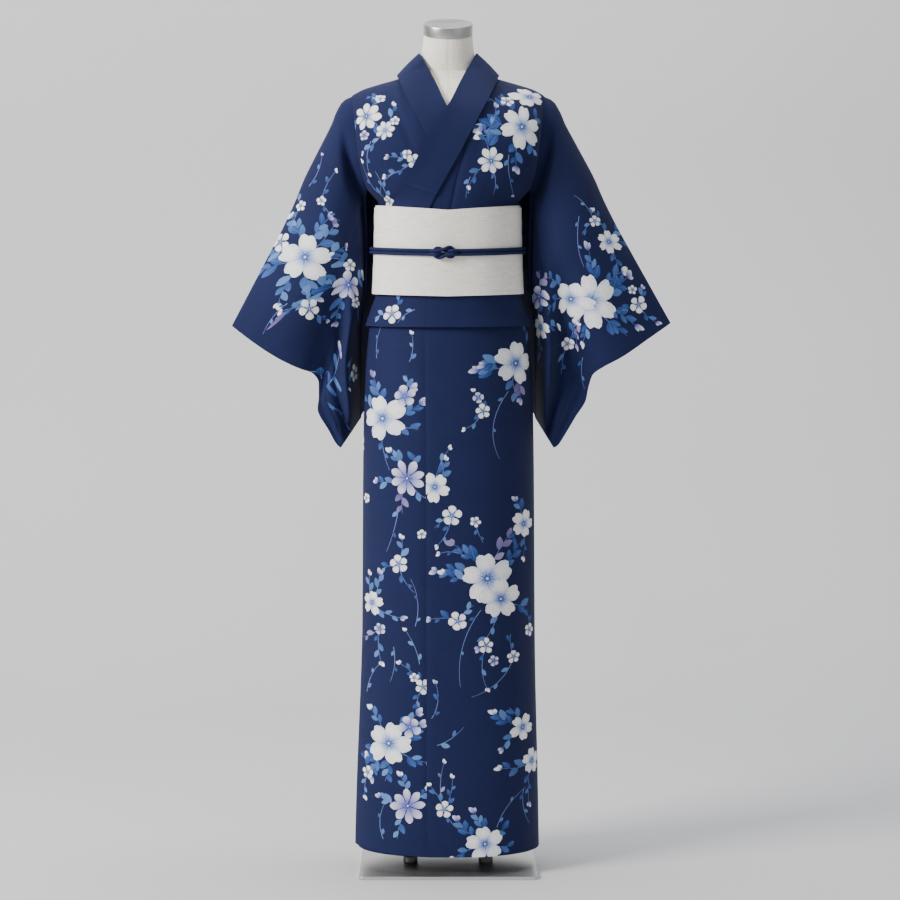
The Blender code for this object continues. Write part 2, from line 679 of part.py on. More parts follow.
# One half of the knot, from the right of the wearer: across, up and out from the obi, in millimetres
KNOT = [
    (-23.0, 3.3, 0.0),
    (-19.0, 3.2, 3.6),
    (-15.5, 3.1, 6.6),
    (-9.0, 3.3, 6.8),
    (-3.0, 4.8, 6.6),
    (1.5, 7.0, 5.9),
    (5.5, 8.9, 3.6),
    (9.0, 9.3, 0.8),
    (12.8, 7.6, 0.0),
    (15.2, 4.0, 0.0),
    (15.7, 0.0, 0.0),
    (15.2, -4.0, 0.0),
    (12.8, -7.4, 0.0),
    (8.5, -8.6, 0.0),
    (4.0, -7.4, 0.0),
    (-0.5, -5.0, 0.2),
    (-4.5, -3.2, 1.9),
    (-8.5, -3.0, 4.9),
    (-12.0, -3.1, 6.6),
    (-15.5, -3.1, 6.6),
    (-19.0, -3.2, 3.6),
    (-23.0, -3.3, 0.0),
]


def smoothed(points, cuts):
    """Points of a curve that passes through the given ones."""
    result = []
    for k in range(len(points) - 1):
        before, start, end, after = (points[max(0, min(len(points) - 1, k + j))] for j in (-1, 0, 1, 2))
        for cut in range(cuts):
            t = cut / cuts
            weights = (
                (-t + 2 * t * t - t ** 3) / 2,
                (2 - 5 * t * t + 3 * t ** 3) / 2,
                (t + 4 * t * t - 3 * t ** 3) / 2,
                (t ** 3 - t * t) / 2,
            )
            result.append(sum((p * w for p, w in zip((before, start, end, after), weights)), Vector()))
    return result + [points[-1]]


def make_cord(material):
    """The doubled cord round the obi, whose two loops link in a flat knot at the front."""
    shift = KNOT_X / 0.137
    steps = 21
    leave = -0.0245 / 0.1225
    half = smoothed([Vector(p) * 0.001 for p in KNOT], 2)
    spread = 0.1195
    points = []
    for turned_over in (False, True):
        sign = -1 if turned_over else 1
        begin = shift + sign * leave
        reach = sign * -math.pi - begin
        strand = sign * (CORD_RADIUS + SEAM_GAP / 2)
        points += [cord_point(begin + reach * (steps - k) / steps, strand, 0.0) for k in range(steps)]
        points += [cord_point(shift + sign * p.x / spread, sign * p.y, p.z) for p in half]
        points += [cord_point(begin + reach * k / steps, -strand, 0.0) for k in range(1, steps)]
    tube("cord", points, CORD_RADIUS * 0.94, material, closed=True, resolution=1)


# Form sections: half width, front and back depth, centre and forward tilt
FormRow = namedtuple("FormRow", "z half front back centre tilt")
FORM = [
    FormRow(0.740, 0.1130, 0.0800, 0.0860, 0.000, 0.0),
    FormRow(0.775, 0.1380, 0.0960, 0.1010, 0.000, 0.0),
    FormRow(0.860, 0.1480, 0.1040, 0.1080, 0.000, 0.0),
    FormRow(0.950, 0.1450, 0.1020, 0.1040, 0.000, 0.0),
    FormRow(1.025, 0.1290, 0.0970, 0.0930, 0.000, 0.0),
    FormRow(1.075, 0.1175, 0.0930, 0.0880, 0.000, 0.0),
    FormRow(1.140, 0.1160, 0.0935, 0.0880, 0.000, 0.0),
    FormRow(1.235, 0.1185, 0.0970, 0.0920, 0.000, 0.0),
]
NECK = [
    FormRow(1.4870, 0.0600, 0.0480, 0.0500, 0.010, 1.0),
    FormRow(1.5000, 0.0525, 0.0470, 0.0490, 0.007, 3.0),
    FormRow(1.5170, 0.0490, 0.0465, 0.0480, 0.003, 7.0),
    FormRow(1.5360, 0.0465, 0.0455, 0.0460, -0.001, 12.0),
]
FORM_SIDES = 32
SHOULDER_RINGS = (1.280, 1.330, 1.375, 1.410, 1.430, 1.4418, 1.4513, 1.4593, 1.4708)
SHOULDER_RISE = 0.0013
CHEST_RISE = 0.0008


def form_ring(row):
    ring = []
    for k in range(FORM_SIDES):
        angle = 2 * math.pi * k / FORM_SIDES
        depth = row.front if math.cos(angle) > 0 else row.back
        x, y = row.half * math.sin(angle), -depth * math.cos(angle)
        tilt = math.radians(row.tilt)
        ring.append(Vector((x, row.centre + y * math.cos(tilt), row.z + y * math.sin(tilt))))
    return ring


def ridge_half(z):
    """Half width of the shoulders at a height near their top line."""
    xs = np.linspace(0.03, SHOULDER_HALF, 200)
    zs = np.array([ridge_z(x) for x in xs])
    return float(np.interp(-z, -zs, xs))


def shoulder_ring(z):
    """Ring of the form under the garment's shoulders, just inside the cloth."""
    ring = []
    chest_half = column(BODICE, "half", min(z, CHEST_Z)) - 0.004
    rise = min(0.9999, max(0.0, (z - CHEST_Z) / (ridge_z(SHOULDER_HALF) - CHEST_Z)))
    half = min(chest_half + 0.008 * rise, ridge_half(z - SHOULDER_RISE) if z > ridge_z(SHOULDER_HALF) else 1.0)
    for k in range(FORM_SIDES):
        angle = 2 * math.pi * k / FORM_SIDES
        x = half * math.sin(angle)
        front = math.cos(angle) > 0
        depth = column(BODICE, "front" if front else "back", min(z, CHEST_Z))
        hole = column(BODICE, "armhole", min(z, CHEST_Z)) * 0.8
        reach = (hole + (depth - hole) * depth_share(angle)) * abs(math.cos(angle)) ** 0.15
        height = max(1e-6, ridge_z(x) - CHEST_Z)
        lean = max(0.0, min(0.99999, (z - SHOULDER_RISE - CHEST_Z) / height)) if z > CHEST_Z else 0.0
        reach = reach * math.sqrt(1 - lean * lean) + CHEST_RISE * ease(z, 1.29, 1.36)
        y = -reach if front else reach
        ring.append(Vector((x, y + RIDGE_Y * lean, z)))
    return ring


def make_form(linen):
    """Smooth padded torso with a neck, closed all round."""
    rings = [form_ring(row) for row in FORM]
    rings += [shoulder_ring(z) for z in SHOULDER_RINGS]
    rings += [form_ring(row) for row in NECK]
    top = []
    for k in range(FORM_SIDES):
        angle = 2 * math.pi * k / FORM_SIDES
        top.append(cap_point(0.0445 * math.sin(angle), -0.0445 * math.cos(angle), -SEAM_GAP))
    rings.append(top)
    mesh = bpy.data.meshes.new("form")
    build = bmesh.new()
    loops = [[build.verts.new(p) for p in ring] for ring in rings]
    for low, high in zip(loops, loops[1:]):
        for k in range(FORM_SIDES):
            nxt = (k + 1) % FORM_SIDES
            build.faces.new((low[k], low[nxt], high[nxt], high[k]))
    build.faces.new(loops[0][::-1])
    build.faces.new(loops[-1])
    bmesh.ops.recalc_face_normals(build, faces=build.faces)
    build.to_mesh(mesh)
    build.free()
    add_object("form", mesh, linen)


def cap_point(x, y, up):
    """Point in the tilted frame of the neck cap."""
    lean = Matrix.Rotation(CAP_TILT, 3, "X")
    return CAP_BASE + lean @ Vector((x, y, up))


def make_cap(metal):
    mesh = bpy.data.meshes.new("neck_cap")
    build = bmesh.new()
    bmesh.ops.create_cone(
        build, cap_ends=True, segments=48, radius1=CAP_RADIUS, radius2=CAP_RADIUS, depth=CAP_HEIGHT
    )
    bmesh.ops.translate(build, vec=(0, 0, CAP_HEIGHT / 2), verts=build.verts)
    build.to_mesh(mesh)
    build.free()
    cap = add_object("neck_cap", mesh, metal)
    cap.location = CAP_BASE
    cap.rotation_euler = (CAP_TILT, 0, 0)
    rim = cap.modifiers.new("Rim", "BEVEL")
    rim.width = 0.0012
    rim.segments = 2
    rim.limit_method = "ANGLE"


def turned(name, profile, material, location, segments=24):
    """A turned piece from (radius, height) points, listed from the top down the outside."""
    mesh = bpy.data.meshes.new(name)
    build = bmesh.new()
    rings = []
    for radius, height in profile:
        ring = [
            build.verts.new((radius * math.cos(t), radius * math.sin(t), height))
            for t in (2 * math.pi * k / segments for k in range(segments))
        ]
        rings.append(ring)
    for upper, lower in zip(rings, rings[1:] + rings[:1] if name.startswith("flange") else rings[1:]):
        for k in range(segments):
            nxt = (k + 1) % segments
            build.faces.new((lower[k], lower[nxt], upper[nxt], upper[k]))
    if not name.startswith("flange"):
        build.faces.new(rings[0])
        build.faces.new(rings[-1][::-1])
    bmesh.ops.recalc_face_normals(build, faces=build.faces)
    build.to_mesh(mesh)
    build.free()
    piece = add_object(name, mesh, material)
    piece.location = location
    return piece


def make_stand(metal, dark_metal):
    mesh = bpy.data.meshes.new("base_plate")
    build = bmesh.new()
    bmesh.ops.create_cube(build, size=1.0)
    bmesh.ops.scale(build, vec=(PLATE_SIZE, PLATE_SIZE, PLATE_THICK), verts=build.verts)
    upright = [e for e in build.edges if abs(e.verts[0].co.z - e.verts[1].co.z) > PLATE_THICK / 2]
    bmesh.ops.bevel(build, geom=upright, offset=PLATE_CORNER, segments=5, affect="EDGES", profile=0.5)
    build.to_mesh(mesh)
    build.free()
    plate = add_object("base_plate", mesh, metal)
    plate.location = (0, PLATE_CENTRE_Y, PLATE_THICK / 2)
    post_top = FORM_BOTTOM_Z - SEAM_GAP
    foot = PLATE_THICK + SEAM_GAP
    for side, word in ((1, "left"), (-1, "right")):
        place = (side * POST_SPACING / 2, 0, 0)
        turned(f"post_{word}", [(POST_RADIUS, post_top), (POST_RADIUS, foot)], metal, place)
        bore = POST_RADIUS + SEAM_GAP
        chamfer = 0.002
        flange = [
            (bore, foot + FLANGE_HEIGHT),
            (FLANGE_RADIUS - chamfer, foot + FLANGE_HEIGHT),
            (FLANGE_RADIUS, foot + FLANGE_HEIGHT - chamfer),
            (FLANGE_RADIUS, foot),
            (bore, foot),
        ]
        turned(f"flange_{word}", flange, dark_metal, place)


def main():
    for existing in list(bpy.data.objects):
        bpy.data.objects.remove(existing)
    navy = new_material("Navy cotton", (0.014, 0.026, 0.115), 0.75)
    linen = new_material("Natural linen", (0.72, 0.68, 0.60), 0.85)
    obi_white = new_material("Off-white obi cloth", (0.70, 0.68, 0.63), 0.80)
    cord_navy = new_material("Navy cord", (0.012, 0.022, 0.100), 0.55)
    steel = new_material("Brushed steel", (0.42, 0.42, 0.41), 0.32, 1.0)
    dark_steel = new_material("Dark steel", (0.10, 0.10, 0.10), 0.35, 1.0)
    for side in (1, -1):
        make_body_panel(side, navy)
        make_okumi(side, navy)
        make_sleeve(side, navy)
    make_collar(navy)
    make_collar_cover(navy)
    make_obi(obi_white)
    make_cord(cord_navy)
    make_form(linen)
    make_cap(steel)
    make_stand(steel, dark_steel)


main()
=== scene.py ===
import math
import random

import bmesh
import bpy
import numpy as np
from mathutils import Matrix, Vector
from mathutils.geometry import delaunay_2d_cdt


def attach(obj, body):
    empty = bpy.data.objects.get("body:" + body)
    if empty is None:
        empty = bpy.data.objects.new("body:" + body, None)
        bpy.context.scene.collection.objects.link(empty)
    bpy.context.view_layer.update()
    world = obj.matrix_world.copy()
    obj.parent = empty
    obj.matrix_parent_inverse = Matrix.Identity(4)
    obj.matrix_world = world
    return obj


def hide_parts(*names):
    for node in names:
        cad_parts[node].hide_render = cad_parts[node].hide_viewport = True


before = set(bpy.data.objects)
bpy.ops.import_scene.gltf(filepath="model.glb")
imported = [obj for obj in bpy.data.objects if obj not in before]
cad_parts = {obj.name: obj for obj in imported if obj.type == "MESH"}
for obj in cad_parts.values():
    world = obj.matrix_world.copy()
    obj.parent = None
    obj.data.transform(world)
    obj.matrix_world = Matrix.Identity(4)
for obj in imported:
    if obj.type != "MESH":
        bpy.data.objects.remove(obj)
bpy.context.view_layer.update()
print("frame loaded")

# shared cloth sizes, in metres
cloth = {
    "thickness": 0.0012,
    "layerStep": 0.0017,
    "seamAngle": 0.0019,
    "collarThickness": 0.0016,
    "collarRest": 0.0014,
    "collarRoom": 0.0054,
    "coverGap": 0.0008,
    "hem": 0.041,
    "ohashori": 1.0188,
    "tuckTop": 1.096,
    "foldNest": 0.003,
    "chest": 1.330,
    "shoulderHalf": 0.1735,
    "ridgeY": 0.004,
    "collarLap": 0.006,
    "okumiTop": math.radians(15),
    "seamGap": 0.00015,
    "sectionPower": 2.4,
    "troughShare": 0.6,
    "bandBow": 0.0015,
    "bandRoll": 0.0022,
}

# body sections: height, half width, depth in front, depth behind, half of the armhole's opening
skirtTable = np.array([
    (0.041, 0.1690, 0.1130, 0.1120, 0.0),
    (0.144, 0.1670, 0.1135, 0.1125, 0.0),
    (0.429, 0.1605, 0.1140, 0.1135, 0.0),
    (0.786, 0.1575, 0.1155, 0.1150, 0.0),
    (0.930, 0.1535, 0.1155, 0.1140, 0.0),
    (1.0188, 0.1455, 0.1120, 0.1090, 0.0),
    (1.048, 0.1345, 0.1068, 0.1015, 0.0),
    (1.075, 0.1242, 0.1025, 0.0965, 0.0),
    (1.096, 0.1226, 0.1015, 0.0955, 0.0),
])
bodiceTable = np.array([
    (1.0188, 0.1511, 0.1175, 0.1142, 0.0),
    (1.048, 0.1403, 0.1122, 0.1070, 0.0),
    (1.075, 0.1298, 0.1080, 0.1020, 0.0),
    (1.243, 0.1252, 0.1056, 0.1000, 0.0),
    (1.268, 0.1440, 0.1072, 0.1030, 0.026),
    (1.297, 0.1545, 0.1080, 0.1050, 0.040),
    (1.330, 0.1605, 0.1070, 0.1050, 0.047),
])
# the top of the shoulders, by the place across
ridgeLine = np.array([(0.0, 1.4900), (0.050, 1.4840), (0.090, 1.4695), (0.130, 1.4580),
                      (0.155, 1.4500), (0.1735, 1.4405)])
# lines on the front and the back: height, place across
okumiSeam = np.array([(0.041, -0.0387), (0.786, -0.0400), (1.0206, -0.0430), (1.075, -0.0362), (1.238, 0.0073),
                      (1.269, 0.0128), (1.355, 0.0330), (1.372, 0.0370)])
collarEdge = np.array([(1.205, -0.0440), (1.240, -0.0279), (1.281, -0.0090), (1.355, 0.0330), (1.395, 0.0552),
                       (1.436, 0.0755), (1.470, 0.0900)])
neckBackEdge = np.array([(1.4400, 0.0), (1.4445, 0.0300), (1.4520, 0.0600), (1.4620, 0.0820), (1.4700, 0.0900)])


def ease(value, low, high):
    share = np.clip((value - low) / (high - low), 0.0, 1.0)
    return share * share * (3 - 2 * share)


def smoothCurve(xs, ys, x):
    # a curve through the table's points that never overshoots them
    gaps = np.diff(xs)
    slopes = np.diff(ys) / gaps
    tangents = np.zeros(len(xs))
    tangents[0], tangents[-1] = slopes[0], slopes[-1]
    both = slopes[:-1] * slopes[1:]
    safe = np.where(both > 0, slopes[:-1] + slopes[1:], 1.0)
    tangents[1:-1] = np.where(both > 0, 2 * both / safe, 0.0)
    x = np.clip(x, xs[0], xs[-1])
    k = np.clip(np.searchsorted(xs, x, side="right") - 1, 0, len(xs) - 2)
    t = (x - xs[k]) / gaps[k]
    return ((2 * t ** 3 - 3 * t ** 2 + 1) * ys[k] + (t ** 3 - 2 * t ** 2 + t) * gaps[k] * tangents[k]
            + (3 * t ** 2 - 2 * t ** 3) * ys[k + 1] + (t ** 3 - t ** 2) * gaps[k] * tangents[k + 1])


def sectionSizes(kind, z):
    # half width, depth in front, depth behind and half of the armhole's opening
    table = skirtTable if kind == "skirt" else bodiceTable
    return [smoothCurve(table[:, 0], table[:, k], z) for k in (1, 2, 3, 4)]


def wrapAngle(angle):
    return (angle + math.pi) % (2 * math.pi) - math.pi


def lineX(line, z):
    return np.interp(z, line[:, 0], line[:, 1])


def ridgeHeight(x):
    return smoothCurve(ridgeLine[:, 0], ridgeLine[:, 1], np.abs(x))


def basePoints(kind, value, angles):
    # the innermost layer of the body: angle 0 is the middle of the front and 90 degrees is the left side
    angles = np.asarray(angles, float)
    z = cloth["chest"] if kind == "shoulder" else value
    half, front, back, hole = sectionSizes(kind, z)
    inFront = np.cos(angles) >= 0
    depth = np.where(inFront, front, back)
    share = np.sqrt(np.clip(1 - np.abs(np.sin(angles)) ** cloth["sectionPower"], 0.0, 1.0))
    reach = hole + (depth - hole) * share
    x = half * np.sin(angles)
    y = np.where(inFront, -reach, reach)
    if kind == "shoulder":
        rise = math.sin(value)
        x = x + (cloth["shoulderHalf"] * np.sin(angles) - x) * rise
        y = y * math.cos(value) + cloth["ridgeY"] * rise
        z = cloth["chest"] + (ridgeHeight(x) - cloth["chest"]) * rise
    return np.stack([x, y, np.broadcast_to(z, x.shape)], axis=-1)


def baseNormals(kind, value, angles):
    step = 1e-3
    size = np.abs(angles)
    kept = np.where(size <= math.pi / 2, np.clip(size, 0, math.pi / 2 - 2 * step),
                    np.clip(size, math.pi / 2 + 2 * step, math.pi - step))
    kept = kept * np.where(angles < 0, -1.0, 1.0)
    across = basePoints(kind, value, kept + step) - basePoints(kind, value, kept - step)
    if kind == "shoulder":
        value = min(value, math.radians(89.3))
        along = basePoints(kind, value + step, kept) - basePoints(kind, value - step, kept)
    else:
        along = np.broadcast_to([0.0, 0.0, 1.0], across.shape)
    normals = np.cross(across, along)
    normals /= np.linalg.norm(normals, axis=-1, keepdims=True)
    upward = np.full(kept.shape, 0.8 if kind == "shoulder" else 0.0)
    outward = np.stack([np.sin(kept), -np.cos(kept), upward], axis=-1)
    return normals * np.where((normals * outward).sum(-1) > 0, 1.0, -1.0)[:, None]


def raisedPoints(kind, value, angles, lift):
    angles = np.atleast_1d(np.asarray(angles, float))
    return basePoints(kind, value, angles) + baseNormals(kind, value, angles) * np.reshape(lift, (-1, 1))


def layerLift(side, layer, kind, value, angles):
    # from the inside out: right skirt, left skirt, left tuck, right tuck, right blouse, left blouse
    step = cloth["layerStep"]
    size = np.abs(np.asarray(angles, float))
    front = 1 - ease(size, math.radians(92), math.radians(150))
    if layer == "skirt":
        return front * (step * 1.1 if side > 0 else 0.0) + (1 - front) * step / 2
    if layer == "tuck":
        return front * (0.0 if side > 0 else step) + (1 - front) * step / 2
    under = 2 * step
    if side < 0:
        return np.full(size.shape, under)
    over = 3 * step
    height = value if kind == "bodice" else cloth["chest"]
    bulge = ease(height, 1.03, 1.075) * (1 - ease(size, math.radians(60), math.radians(88)))
    if kind == "shoulder":
        fade = 1 - ease(value, math.radians(14), math.radians(62))
        bulge = bulge * fade
        over = under + (over - under) * fade
    return front * (over + cloth["collarRoom"] * bulge) + (1 - front) * under


def angleOfX(kind, value, x):
    half = cloth["shoulderHalf"]
    if kind != "shoulder":
        half = float(sectionSizes(kind, value)[0])
    angle = math.asin(max(-1, min(1, x / half)))
    for _ in range(6):
        if abs(math.sin(angle)) > 1e-3:
            width = abs(float(basePoints(kind, value, [angle])[0, 0]) / math.sin(angle))
            angle = math.asin(max(-1, min(1, x / width)))
    return angle


def frontInnerAngle(kind, value):
    if kind != "shoulder":
        return angleOfX(kind, value, float(lineX(okumiSeam, value)))
    angle = 0.3
    for _ in range(10):
        height = float(basePoints(kind, value, [angle])[0, 2])
        seam = float(lineX(okumiSeam, height))
        under = float(lineX(collarEdge, height)) - cloth["collarLap"]
        share = float(ease(value, cloth["okumiTop"] - 0.02, cloth["okumiTop"] + 0.02))
        angle = angleOfX(kind, value, seam + (under - seam) * share)
    return angle


def backInnerAngle(kind, value):
    if kind != "shoulder":
        half = float(sectionSizes(kind, value)[0])
        return math.pi - cloth["seamGap"] / half
    angle = 0.3
    for _ in range(20):
        height = float(basePoints(kind, value, [math.pi - angle])[0, 2])
        target = float(lineX(neckBackEdge, height)) - cloth["collarLap"]
        angle = 0.5 * angle + 0.5 * angleOfX(kind, value, max(target, cloth["seamGap"]))
    return math.pi - angle


def bodyRows(side):
    # layer, kind, height or rise, and whether in front: up the front, over the shoulder and down the back
    nest = cloth["foldNest"] if side > 0 else 0.0
    tuckTop = cloth["tuckTop"] - nest
    foldBottom = cloth["ohashori"] + cloth["foldNest"] - nest
    skirt = [("skirt", "skirt", z) for z in np.linspace(cloth["hem"], cloth["ohashori"], 74)[:-1]]
    skirt += [("skirt", "skirt", z) for z in np.linspace(cloth["ohashori"], tuckTop, 7)]
    tuck = [("tuck", "bodice", z) for z in np.linspace(tuckTop, foldBottom + 0.004, 7)]
    tuck += [("tuck", "bodice", foldBottom)]
    blouse = [("blouse", "bodice", foldBottom), ("blouse", "bodice", foldBottom + 0.003)]
    blouse += [("blouse", "bodice", z) for z in np.linspace(foldBottom + 0.010, cloth["chest"], 30)]
    rises = np.radians(np.linspace(0, 89.5, 25))[1:]
    shoulder = [("blouse", "shoulder", float(r)) for r in rises]
    front = [(*row, True) for row in skirt + tuck + blouse + shoulder]
    back = [(*row, False) for row in shoulder[-2::-1] + blouse[::-1] + tuck[::-1] + skirt[::-1]]
    return front + back


# soft troughs pressed into the cloth: start x and z, end x and z, half width and depth
troughs = {
    "front": [
        (-0.106, 1.446, -0.060, 1.330, 0.006, 0.0038),
        (-0.088, 1.452, -0.066, 1.398, 0.004, 0.0026),
        (0.0045, 1.228, 0.0316, 1.357, 0.0035, 0.0032),
        (-0.0430, 1.010, -0.0392, 0.060, 0.0030, 0.0024),
        (0.094, 1.440, 0.052, 1.330, 0.006, 0.0026),
        (-0.120, 1.250, -0.150, 1.300, 0.008, 0.0025),
        (0.118, 1.250, 0.150, 1.310, 0.008, 0.0025),
        (0.060, 1.245, 0.085, 1.300, 0.006, 0.0012),
        (-0.126, 1.040, -0.110, 1.070, 0.006, 0.0010),
        (0.116, 1.036, 0.108, 1.070, 0.007, 0.0012),
        (0.020, 1.030, 0.026, 1.070, 0.006, 0.0008),
        (-0.112, 0.995, -0.126, 0.860, 0.010, 0.0016),
        (0.104, 0.998, 0.120, 0.840, 0.010, 0.0016),
        (0.060, 1.000, 0.052, 0.900, 0.010, 0.0009),
        (0.140, 0.700, 0.146, 0.120, 0.012, 0.0016),
        (-0.132, 0.640, -0.142, 0.160, 0.010, 0.0012),
    ],
    "back": [
        (-0.060, 1.400, -0.110, 1.260, 0.010, 0.0022),
        (0.060, 1.400, 0.110, 1.260, 0.010, 0.0022),
        (-0.040, 1.030, -0.046, 1.070, 0.008, 0.0012),
        (0.052, 1.030, 0.050, 1.070, 0.008, 0.0012),
        (-0.080, 0.990, -0.092, 0.800, 0.012, 0.0020),
        (0.084, 0.990, 0.094, 0.760, 0.012, 0.0020),
        (0.020, 0.990, 0.018, 0.860, 0.012, 0.0012),
        (-0.130, 0.600, -0.136, 0.100, 0.012, 0.0016),
        (0.132, 0.560, 0.138, 0.100, 0.012, 0.0016),
    ],
}


def troughDepth(points, where):
    total = np.zeros(len(points))
    for x0, z0, x1, z1, width, depth in troughs[where]:
        along = np.array([x1 - x0, z1 - z0])
        length = float(np.dot(along, along))
        offset = points[:, [0, 2]] - [x0, z0]
        t = offset @ along / length
        near = offset - np.clip(t, 0, 1)[:, None] * along
        fade = ease(t, -0.25, 0.25) * (1 - ease(t, 0.75, 1.25))
        total += depth * fade * np.exp(-(near ** 2).sum(1) / width ** 2)
    return total


def clothRow(side, layer, kind, value, inFront, angles):
    signed = side * np.asarray(angles)
    lift = layerLift(side, layer, kind, value, signed)
    points = raisedPoints(kind, value, signed, lift)
    normals = baseNormals(kind, value, signed)
    if layer != "tuck":
        depth = troughDepth(points, "front" if inFront else "back")[:, None]
        points = points - normals * depth * cloth["troughShare"]
    return points


def bodyGrid(side):
    rows, grid = bodyRows(side), []
    sideAngle = cloth["seamGap"] / cloth["shoulderHalf"]
    share = np.linspace(0, 1, 41)
    for layer, kind, value, inFront in rows:
        if inFront:
            inner = frontInnerAngle(kind, value) + cloth["seamAngle"] / 2
            outer = math.pi / 2 - sideAngle
        else:
            inner = backInnerAngle(kind, value)
            outer = math.pi / 2 + sideAngle
        grid.append(clothRow(side, layer, kind, value, inFront, inner + (outer - inner) * share))
    return rows, np.array(grid)


def okumiGrid(side):
    rows, grid = [], []
    for layer, kind, value, inFront in bodyRows(side):
        if not inFront or kind == "shoulder" and value > cloth["okumiTop"]:
            break
        inner = frontInnerAngle(kind, value)
        seam = -inner + cloth["seamAngle"] / 2
        folded = -inner + (math.pi / 2 + inner) * 5 / 6
        if kind == "shoulder":
            narrow = float(ease(value, 0.0, cloth["okumiTop"]))
            low = -angleOfX("bodice", cloth["chest"], float(lineX(collarEdge, cloth["chest"])) - cloth["collarLap"])
            wide = low + frontInnerAngle("bodice", cloth["chest"])
            edge = seam + wide * (1 - narrow) + math.radians(2.4) * narrow
        else:
            edgeX = float(np.interp(value, (1.105, 1.24), (-0.118, -0.034)))
            if value > 1.24:
                edgeX = float(lineX(collarEdge, value)) - cloth["collarLap"]
            free = -angleOfX(kind, value, edgeX)
            share = float(ease(value, 1.075, 1.105)) if layer == "blouse" else 0.0
            edge = folded + (free - folded) * share
        share = np.linspace(0, 1, 27)
        points = clothRow(side, layer, kind, value, True, -(seam + (edge - seam) * share))
        if layer == "skirt":
            # the lower corner of the left one swings out and up, and the right one hangs a little higher
            rise = 1 - ease(value, cloth["hem"], 0.14)
            if side > 0:
                points[:, 0] -= 0.007 * share ** 2 * (1 - ease(value, cloth["hem"], 0.6))
            points[:, 2] += 0.008 * share * rise if side > 0 else 0.006 * rise
        rows.append((layer, kind, value, True))
        grid.append(points)
    return rows, np.array(grid)


# collar band of the left side: inner edge x y z, outer edge x z, and how much it lies on the body
bandTable = np.array([
    (0.0000, 0.0720, 1.5000, 0.0000, 1.4340, -1.0),
    (0.0240, 0.0640, 1.5040, 0.0310, 1.4400, -1.0),
    (0.0410, 0.0430, 1.5110, 0.0640, 1.4535, -1.0),
    (0.0495, 0.0200, 1.5165, 0.0850, 1.4645, -1.0),
    (0.0508, 0.0095, 1.5180, 0.0890, 1.4682, -1.0),
    (0.0512, -0.0010, 1.5185, 0.0905, 1.4695, 0.0),
    (0.0495, -0.0125, 1.5150, 0.0892, 1.4668, 0.0),
    (0.0460, -0.0240, 1.5080, 0.0860, 1.4600, 0.0),
    (0.0410, -0.0355, 1.4995, 0.0812, 1.4490, 0.1),
    (0.0350, -0.0470, 1.4880, 0.0755, 1.4360, 0.2),
    (0.0290, -0.0572, 1.4740, 0.0700, 1.4248, 0.4),
    (0.0212, -0.0670, 1.4580, 0.0640, 1.4130, 0.6),
    (0.0035, -0.0900, 1.4195, 0.0515, 1.3890, 1.0),
    (-0.0098, -0.0950, 1.3978, 0.0394, 1.3668, 1.0),
    (-0.0236, -0.1000, 1.3760, 0.0272, 1.3442, 1.0),
    (-0.0490, -0.1000, 1.3340, 0.0040, 1.3030, 1.0),
    (-0.0650, -0.1000, 1.3010, -0.0130, 1.2720, 1.0),
    (-0.0780, -0.1000, 1.2745, -0.0210, 1.2570, 1.0),
    (-0.0865, -0.1000, 1.2545, -0.0325, 1.2310, 1.0),
    (-0.0913, -0.1000, 1.2432, -0.0385, 1.2180, 1.0),
    (-0.1010, -0.1000, 1.2200, -0.0510, 1.1930, 1.0),
])


def bandRest(side, x, z, inFront, above):
    # where the band lies on the cloth under it, seen from the left side and mirrored later
    if z <= cloth["chest"]:
        kind, value = "bodice", z
    else:
        kind = "shoulder"
        value = math.asin(min(0.99995, (z - cloth["chest"]) / (float(ridgeHeight(x)) - cloth["chest"])))
    angle = angleOfX(kind, value, x)
    if not inFront:
        angle = math.copysign(math.pi - abs(angle), angle)
    lift = 2 * cloth["layerStep"]
    if side > 0:
        lift = float(layerLift(1, "blouse", kind, value, [angle])[0])
        if inFront:
            crossing = float(1 - ease(z, 1.405, 1.455))
            lift = max(lift, 2 * cloth["layerStep"] + (cloth["layerStep"] + cloth["collarRoom"]) * crossing)
    rest = cloth["thickness"] / 2 + cloth["collarRest"] + cloth["collarThickness"] / 2
    return raisedPoints(kind, value, [angle], lift + rest + above)[0]


def bandRow(side, place, above):
    index = np.arange(len(bandTable), dtype=float)
    innerX, innerY, innerZ, outerX, outerZ, onBody = (
        float(smoothCurve(index, bandTable[:, k], place)) for k in range(6))
    weight = max(0.0, onBody)
    inFront = place >= 5
    outer = bandRest(side, outerX, outerZ, inFront, above)
    inner = np.array([innerX, innerY, innerZ])
    points = []
    away = np.array([outer[0], outer[1], 0.0])
    away /= max(1e-9, np.linalg.norm(away))
    across = outer - inner
    facing = away - across * (away @ across) / (across @ across)
    facing /= np.linalg.norm(facing)
    bowAxis = np.array([0.5, -0.6 if inFront else 0.6, 0.6])
    bowAxis /= np.linalg.norm(bowAxis)
    for share in np.linspace(0, 1, 9):
        free = inner + (outer - inner) * share + bowAxis * math.sin(math.pi * share) * cloth["bandBow"]
        if above:
            free = free + facing * above
        if weight > 0:
            x = innerX + (outerX - innerX) * share
            z = innerZ + (outerZ - innerZ) * share
            # the folded edge of the upper band stands up a little
            roll = cloth["bandRoll"] * math.exp(-(share / 0.18) ** 2) * float(ease(z, 1.240, 1.280)) * (side > 0)
            free = free + (bandRest(side, x, z, True, above + roll) - free) * weight
        points.append((side * free[0], free[1], free[2]))
    return points


def bandGrid(lastRow, above):
    places = np.linspace(0, lastRow, lastRow * 4 + 1)
    right = [bandRow(-1, p, above) for p in places[:0:-1]]
    left = [bandRow(1, p, above) for p in places]
    return np.array(right + left)


